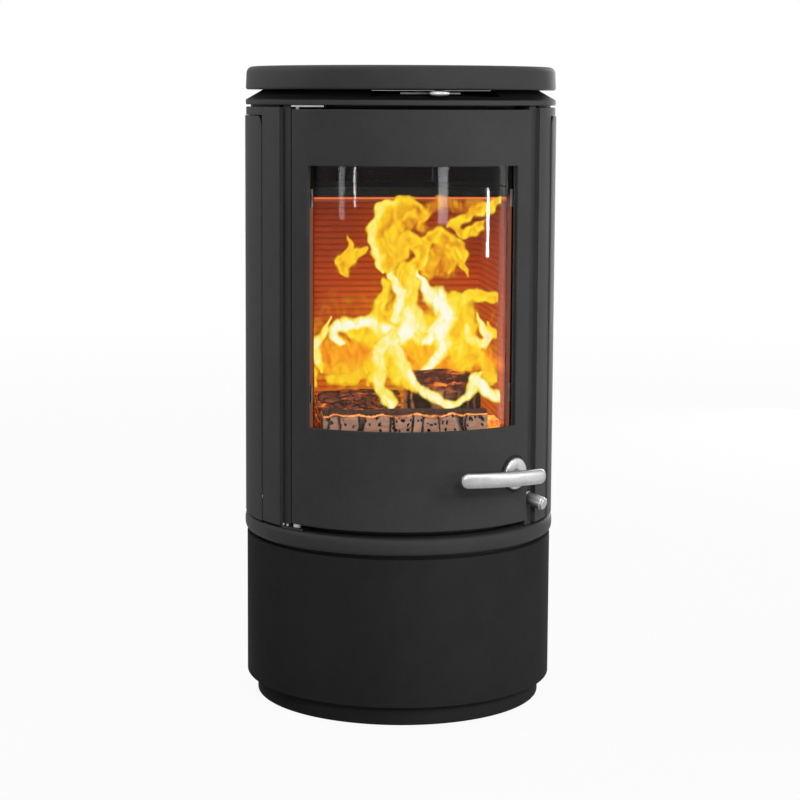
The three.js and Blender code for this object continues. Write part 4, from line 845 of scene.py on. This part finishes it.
# The fire is three thin curtains. In each, every tongue is a path of (across, down, half width) in
# the view, with its heat from 0 (orange) to 1 (white) and how much hotter its rim is.
fire = {
    "step": 1.6, "left": -127.0, "right": 127.5, "low": 384.0, "crossing": 0.06,
    "core": 1.6, "even": 0.56, "narrow": 0.92, "thin": 0.3, "thicker": 1.7, "from": 0.3,
    "bendFrom": 30.0, "billow": 6.0, "haze": (400, 352, 92, 38, 0.42, 0.3)}
curtains = [
    {"depth": 5.0, "bend": 110.0, "thick": 5.0, "high": 706.0, "haze": 1.0, "tongues": [
        (0.3, 0.0, [(316, 354, 12), (345, 358, 18), (376, 356, 20), (404, 350, 22), (430, 350, 22),
                    (460, 354, 20), (488, 364, 12)]),
        (0.5, 0.0, [(403, 268, 9), (405, 284, 11), (403, 302, 14), (400, 318, 18), (404, 338, 20)]),
        (0.52, 0.0, [(424, 345, 20), (444, 326, 20), (458, 312, 14), (460, 340, 16), (462, 356, 14)]),
        (0.46, 0.06, [(343, 274, 4), (344, 264, 8), (353, 256, 8), (364, 250, 2)]),
        (0.44, 0.06, [(350, 258, 6), (349, 247, 4), (347, 237, 1)]),
        (0.4, 0.04, [(430, 271, 9), (441, 268, 10), (452, 260, 9), (459, 252, 6)]),
        (0.36, 0.0, [(422, 264, 8), (436, 254, 10), (450, 252, 9)]),
        (0.44, 0.08, [(421, 243, 6), (436, 237, 9), (451, 242, 9), (459, 253, 7), (464, 264, 4),
                      (469, 277, 1)]),
    ]},
    {"depth": -30.0, "bend": 60.0, "thick": 5.0, "high": 706.0, "haze": 0.35, "tongues": [
        (0.44, 0.1, [(396, 258, 7), (407, 241, 10), (418, 246, 9), (422, 258, 8), (412, 268, 8)]),
        (0.73, 0.0, [(391, 270, 3), (397, 286, 5), (400, 302, 6), (397, 318, 7)]),
        (0.58, 0.0, [(388, 281, 4), (382, 300, 6), (378, 315, 7), (374, 326, 6)]),
        (0.62, 0.0, [(412, 266, 4), (413, 284, 6), (411, 302, 7), (415, 319, 10), (422, 337, 8)]),
        (0.76, 0.0, [(408, 312, 6), (409, 322, 9), (403, 336, 10), (394, 344, 6)]),
        (0.77, 0.0, [(417, 269, 1), (426, 288, 6), (438, 300, 11), (446, 314, 12), (441, 328, 11),
                     (434, 337, 9), (424, 342, 3)]),
        (0.75, 0.0, [(444, 328, 9), (444, 340, 9), (440, 352, 7), (432, 363, 6), (420, 374, 2)]),
        (0.52, 0.0, [(455, 299, 9), (463, 310, 12), (463, 328, 13), (459, 346, 14), (467, 362, 9)]),
        (0.52, 0.05, [(456, 300, 7), (471, 295, 6), (479, 297, 6), (489, 296, 6), (497, 297, 5),
                      (500, 304, 2)]),
        (0.76, 0.0, [(384, 331, 11), (371, 324, 8), (357, 323, 7), (343, 325, 7), (335, 331, 6),
                     (338, 341, 5), (344, 343, 2)]),
        (0.54, 0.0, [(352, 333, 4), (367, 337, 9), (381, 338, 11)]),
        (0.7, 0.05, [(478, 315, 1), (481, 326, 4), (487, 335, 5), (484, 342, 6), (473, 341, 6),
                     (467, 334, 4), (466, 325, 1)]),
        (0.56, 0.0, [(487, 320, 1), (490, 331, 4), (496, 335, 4), (499, 324, 1)]),
        (0.56, 0.0, [(476, 348, 5), (485, 363, 7), (491, 377, 6), (496, 378, 4), (498, 365, 1)]),
        (0.68, 0.0, [(329, 318, 1), (324, 334, 4), (314, 347, 6), (317, 360, 5), (323, 371, 2)]),
        (0.4, 0.0, [(322, 366, 5), (341, 371, 8), (358, 370, 9), (372, 362, 10), (380, 350, 8)]),
    ]},
    {"depth": -84.0, "bend": 30.0, "thick": 4.0, "high": 717.0, "haze": 0.0, "tongues": [
        (0.42, 0.1, [(389, 265, 7), (386, 245, 12), (386, 226, 14), (396, 212, 13), (409, 208, 11),
                     (421, 215, 8)]),
        (0.68, 0.0, [(383, 271, 2), (377, 258, 6), (374, 243, 6), (373, 231, 5), (377, 216, 5), (385, 205, 4),
                     (397, 200, 3)]),
        (0.38, 0.0, [(396, 238, 9), (402, 228, 10), (414, 224, 9), (426, 226, 6)]),
        (0.46, 0.0, [(388, 204, 4), (400, 201, 4), (414, 203, 4), (424, 209, 3)]),
        (0.34, 0.0, [(421, 214, 6), (433, 205, 8), (450, 203, 8), (468, 207, 8), (486, 203, 5)]),
        (0.52, 0.05, [(450, 226, 2), (457, 221, 5), (470, 214, 6), (485, 208, 6), (498, 201, 4),
                      (509, 197, 1)]),
        (0.48, 0.06, [(455, 225, 4), (464, 234, 6), (476, 230, 6), (483, 220, 1)]),
        (0.71, 0.0, [(386, 338, 5), (380, 354, 8), (378, 370, 8), (381, 388, 7), (388, 402, 6),
                     (391, 409, 2)]),
        (0.66, 0.0, [(385, 392, 4), (390, 398, 7), (393, 405, 3)]),
        (0.56, 0.0, [(386, 350, 8), (393, 364, 11), (401, 378, 8), (412, 388, 4)]),
        (0.71, 0.0, [(390, 336, 7), (396, 352, 8), (404, 369, 6), (416, 385, 5), (430, 396, 5),
                     (450, 404, 4.5), (464, 399, 4.5), (474, 387, 6), (480, 373, 2)]),
        (0.73, 0.0, [(474, 378, 5), (483, 386, 7), (494, 395, 7), (503, 399, 5), (508, 398, 3)]),
        (0.56, 0.0, [(309, 368, 2), (315, 375, 5), (313, 384, 4), (310, 390, 1)]),
        (0.5, 0.0, [(330, 378, 5), (343, 381, 7), (356, 377, 6), (367, 368, 6), (374, 374, 5),
                    (368, 385, 2)]),
    ]},
]


def fireCurtain(curtain):
    # Each tongue is felt at every point of a fine upright grid: one at its middle line, falling to
    # nothing beyond its half width. The heat is the mean of the tongues felt there: hot tongues are
    # hottest along the middle, cool ones are not. A soft haze, a bell in both directions, lies low
    # down. The grid is kept where there is fire, as a sheet that thins out towards its rims.
    x, z = np.meshgrid(np.arange(fire["left"], fire["right"], fire["step"]),
                       np.arange(fire["low"], curtain["high"], fire["step"]))
    # to the right the curtain comes forward, and it billows in two slow waves
    forward = np.clip((x - fire["bendFrom"]) / (fire["right"] - fire["bendFrom"]), 0, 1) ** 2
    billow = fire["billow"] * np.sin(x / 26) * np.sin(z / 34 + x / 60)
    y = curtain["depth"] - curtain["bend"] * forward + billow
    plainX, plainZ = seenFrom(x, y, z)
    # the flow is stirred: slow and quick waves push each point aside, more so high up
    stir = 0.75 + 0.5 * np.clip((340 - plainZ) / 140, 0, 1)
    across = plainX + stir * (1.8 * np.sin(plainZ * 0.17 + 1.6 * np.sin(plainX * 0.06))
                              + 1.1 * np.sin(plainZ * 0.41 + plainX * 0.23))
    down = plainZ + stir * (1.6 * np.sin(plainX * 0.19 + 1.2 * np.sin(plainZ * 0.08))
                            + 0.9 * np.sin(plainX * 0.47 - plainZ * 0.21))
    heat, total, empty, rims = np.zeros_like(x), np.full_like(x, 1e-6), np.ones_like(x), np.zeros_like(x)
    for warmth, edge, path in curtain["tongues"]:
        line = smoothPath(path, 31)
        near = np.full_like(x, 9.0)
        for a, b in zip(line[:-1], line[1:]):
            # the distance to each piece of the path, in half widths
            stepX, stepY, wider = b - a
            part = ((across - a[0]) * stepX + (down - a[1]) * stepY) / max(stepX ** 2 + stepY ** 2, 1e-6)
            part = np.clip(part, 0, 1)
            width = np.maximum(fire["narrow"] * (a[2] + wider * part), 0.9)
            apart = np.hypot(across - a[0] - part * stepX, down - a[1] - part * stepY)
            near = np.minimum(near, apart / width)
        body = smooth((1.55 - near) / 1.3)
        felt = body ** 1.5 + 1e-4 * np.exp(-near)
        rim = np.exp(-((near - 0.8) / 0.3) ** 2)
        hotter = fire["core"] * max(warmth - fire["even"], 0) * (body - 0.6)
        heat = heat + felt * (warmth + hotter + edge * rim)
        rims = rims + felt * rim * edge
        total = total + felt
        empty = empty * (1 - body)
    heat = heat / total + fire["crossing"] * np.clip(total - 1, 0, 2)
    # hot places and rims are dense, the cooler insides are a thin veil
    dense = np.clip(fire["thin"] + 4 * rims / total + fire["thicker"] * (heat - fire["from"]), 0.3, 1)
    cover = (1 - empty) * dense
    middle, level, wide, tall, most, warm = fire["haze"]
    haze = curtain["haze"] * most * np.exp(-((across - middle) / wide) ** 4 - ((down - level) / tall) ** 2)
    haze = haze * (1 - cover)
    heat = (heat * cover + warm * haze) / np.maximum(cover + haze, 1e-6)
    cover = cover + haze
    keep = cover > 0.02
    corners = [(slice(None, -1), slice(None, -1)), (slice(None, -1), slice(1, None)),
               (slice(1, None), slice(1, None)), (slice(1, None), slice(None, -1))]
    cells = np.logical_or.reduce([keep[corner] for corner in corners])
    used = np.zeros_like(keep)
    for corner in corners:
        used[corner] |= cells
    number = np.cumsum(used).reshape(used.shape) - 1
    sheet = np.stack([number[corner][cells] for corner in corners], -1)
    half = curtain["thick"] / 2 * np.sqrt(cover) * keep
    points = np.concatenate([np.stack([x, y + side * half, z], -1)[used] for side in (-1, 1)])
    faces = np.concatenate([sheet, sheet[:, ::-1] + used.sum()])
    return points, faces, np.tile(heat[used], 2), np.tile(cover[used], 2)


sheets = [fireCurtain(curtain) for curtain in curtains]
starts = np.cumsum([0, *[len(sheet[0]) for sheet in sheets]])
firePoints, fireHeat, fireCover = (np.concatenate([sheet[k] for sheet in sheets]) for k in (0, 2, 3))
fireFaces = np.concatenate([sheet[1] + start for sheet, start in zip(sheets, starts)])
addShell("fireFlames", firePoints, fireFaces, (flameMaterial, "flame"), (), 180,
         marks={"hotness": fireHeat, "cover": fireCover})
print("flames made")

damper = {"inner": 0, "outer": 71.5, "base": 206, "top": 208, "edge": [0, 0.6, 0.6, 0]}
addPiece("flueDamper", [tube(damper, flueAxis)], deep)

finishes = {
    "black_paint": satinPaint, "cast_black": castPaint, "deep_black": deepPaint, "raw_steel": plainSteel,
    "brushed_steel": brightSteel, "firebrick": glowBoard, "soot_board": sootBoard,
    "clear_glass": glassMaterial, "rope_seal": ropeMaterial, "split_wood": splitWood,
    "charred_wood": charredWood,
    "front_frame": firelitFrame, "baffle_lower": firelitBaffle, "pillar_left": pillarPaint,
    "bottom_hinge_plate": darkSteel, "top_hinge_plate": smallSteel, "top_hinge_pin": smallSteel,
    "airwash_arm": smallSteel}
for entry in frame["record"]["subparts"]:
    for place in frame["nodes"][entry["node"]].material_slots:
        place.material = finishes.get(entry["node"], finishes[entry["material_slot"]])
print("CAD nodes dressed")

# each lamp: place, the point that it faces, size, power
studio = {
    "floor": 60.0, "pale": 0.42, "white": 1.0, "ambient": 0.09, "share": (0.94, 1.0), "fades": (1.2, 5.0),
    "lamps": {
        "keySoftbox": ((1.9, -2.0, 1.9), (0, 0, 0.85), (1.1, 1.1), 43),
        "frontFill": ((0.25, -2.9, 1.6), (0, 0, 0.3), (0.8, 0.5), 38),
        "topSoftbox": ((-0.3, 0.2, 3.0), (0, 0, 0.8), (1.8, 1.8), 36),
        "leftRim": ((-1.3, 0.1, 1.35), (-0.2, 0, 0.85), (0.5, 0.5), 9),
        "rightRim": ((1.5, 2.4, 0.9), (0, 0, 0.5), (0.6, 1.8), 40),
        "glassLine": ((2.31, -1.194, 0.54), (0, 0, 0.54), (0.13, 0.17), 12),
        "glassEdge": ((2.56, -0.42, 0.4), (0, 0, 0.4), (0.55, 0.8), 5),
        "glassStreakLeft": ((-1.66, -2.0, 0.64), (0, 0, 0.64), (0.08, 0.12), 2),
        "glassFaintLeft": ((-1.98, -1.66, 0.62), (0, 0, 0.6), (0.2, 0.14), 1),
        "glassStreakRight": ((1.13, -2.34, 0.62), (0, 0, 0.62), (0.34, 0.16), 3.5)}}


def whiteSeen(tree, plain, white, share=None):
    # Mixes the white shader over the plain one for rays from the camera, mirrored rays and rays
    # through glass, by share where that is given.
    rays = node(tree, "LightPath").outputs
    seen = maths(tree, "ADD", rays["Is Camera Ray"], rays["Is Glossy Ray"], use_clamp=True)
    seen = maths(tree, "ADD", seen, rays["Is Transmission Ray"], use_clamp=True)
    if share:
        seen = maths(tree, "MULTIPLY", seen, share)
    return node(tree, "MixShader", in0=seen, in1=plain, in2=white)


bpy.ops.mesh.primitive_plane_add(size=studio["floor"])
floor = bpy.context.object
floor.name = "paleFloor"
floorMaterial, floorTree, floorPlace = startMaterial("paleFloor", Roughness=0.9, Specular_IOR_Level=0.1)
floorTone = useGroup(floorTree, "mottle", Vector=floorPlace, Scale=0.6, Dark=(studio["pale"],) * 3,
                     Light=(studio["pale"] + 0.02,) * 3)
dress(floorTree, Base_Color=floorTone["Colour"])
lift = node(floorTree, "Emission", Color=(1, 1, 1), Strength=studio["white"])
# seen directly or mirrored, the floor is mostly plain white, and wholly so far away, like the backdrop
fromMiddle = node(floorTree, "VectorMath", operation="LENGTH", in0=floorPlace)
farther = spread(floorTree, fromMiddle, *studio["fades"], *studio["share"])
floorSeen = whiteSeen(floorTree, floorTree.nodes["Principled BSDF"], lift, farther)
feed(floorTree, floorTree.nodes["Material Output"].inputs["Surface"], floorSeen)
floor.data.materials.append(floorMaterial)

world = bpy.data.worlds.new("paleStudio")
scene.world = world
world.use_nodes = True
skyTree = world.node_tree
ambient = skyTree.nodes["Background"]
feed(skyTree, ambient.inputs["Color"], (1, 1, 1))
feed(skyTree, ambient.inputs["Strength"], studio["ambient"])
backdrop = node(skyTree, "Background", Color=(1, 1, 1), Strength=studio["white"])
feed(skyTree, skyTree.nodes["World Output"].inputs["Surface"], whiteSeen(skyTree, ambient, backdrop))

for name, (at, aim, size, power) in studio["lamps"].items():
    lampData = bpy.data.lights.new(name, "AREA")
    lampData.shape = "RECTANGLE"
    lampData.size, lampData.size_y = size
    lampData.energy = power
    lamp = bpy.data.objects.new(name, lampData)
    scene.collection.objects.link(lamp)
    lamp.location = at
    lamp.rotation_euler = (Vector(aim) - Vector(at)).to_track_quat("-Z", "Y").to_euler()

cameraData = bpy.data.cameras.new("photoCamera")
cameraData.lens = view["lens"]
cameraData.sensor_width = view["sensor"]
cameraData.shift_x = view["shiftX"]
cameraData.shift_y = view["shiftY"]
camera = bpy.data.objects.new("photoCamera", cameraData)
scene.collection.objects.link(camera)
camera.matrix_world = cameraPlace
scene.camera = camera
print("studio made")
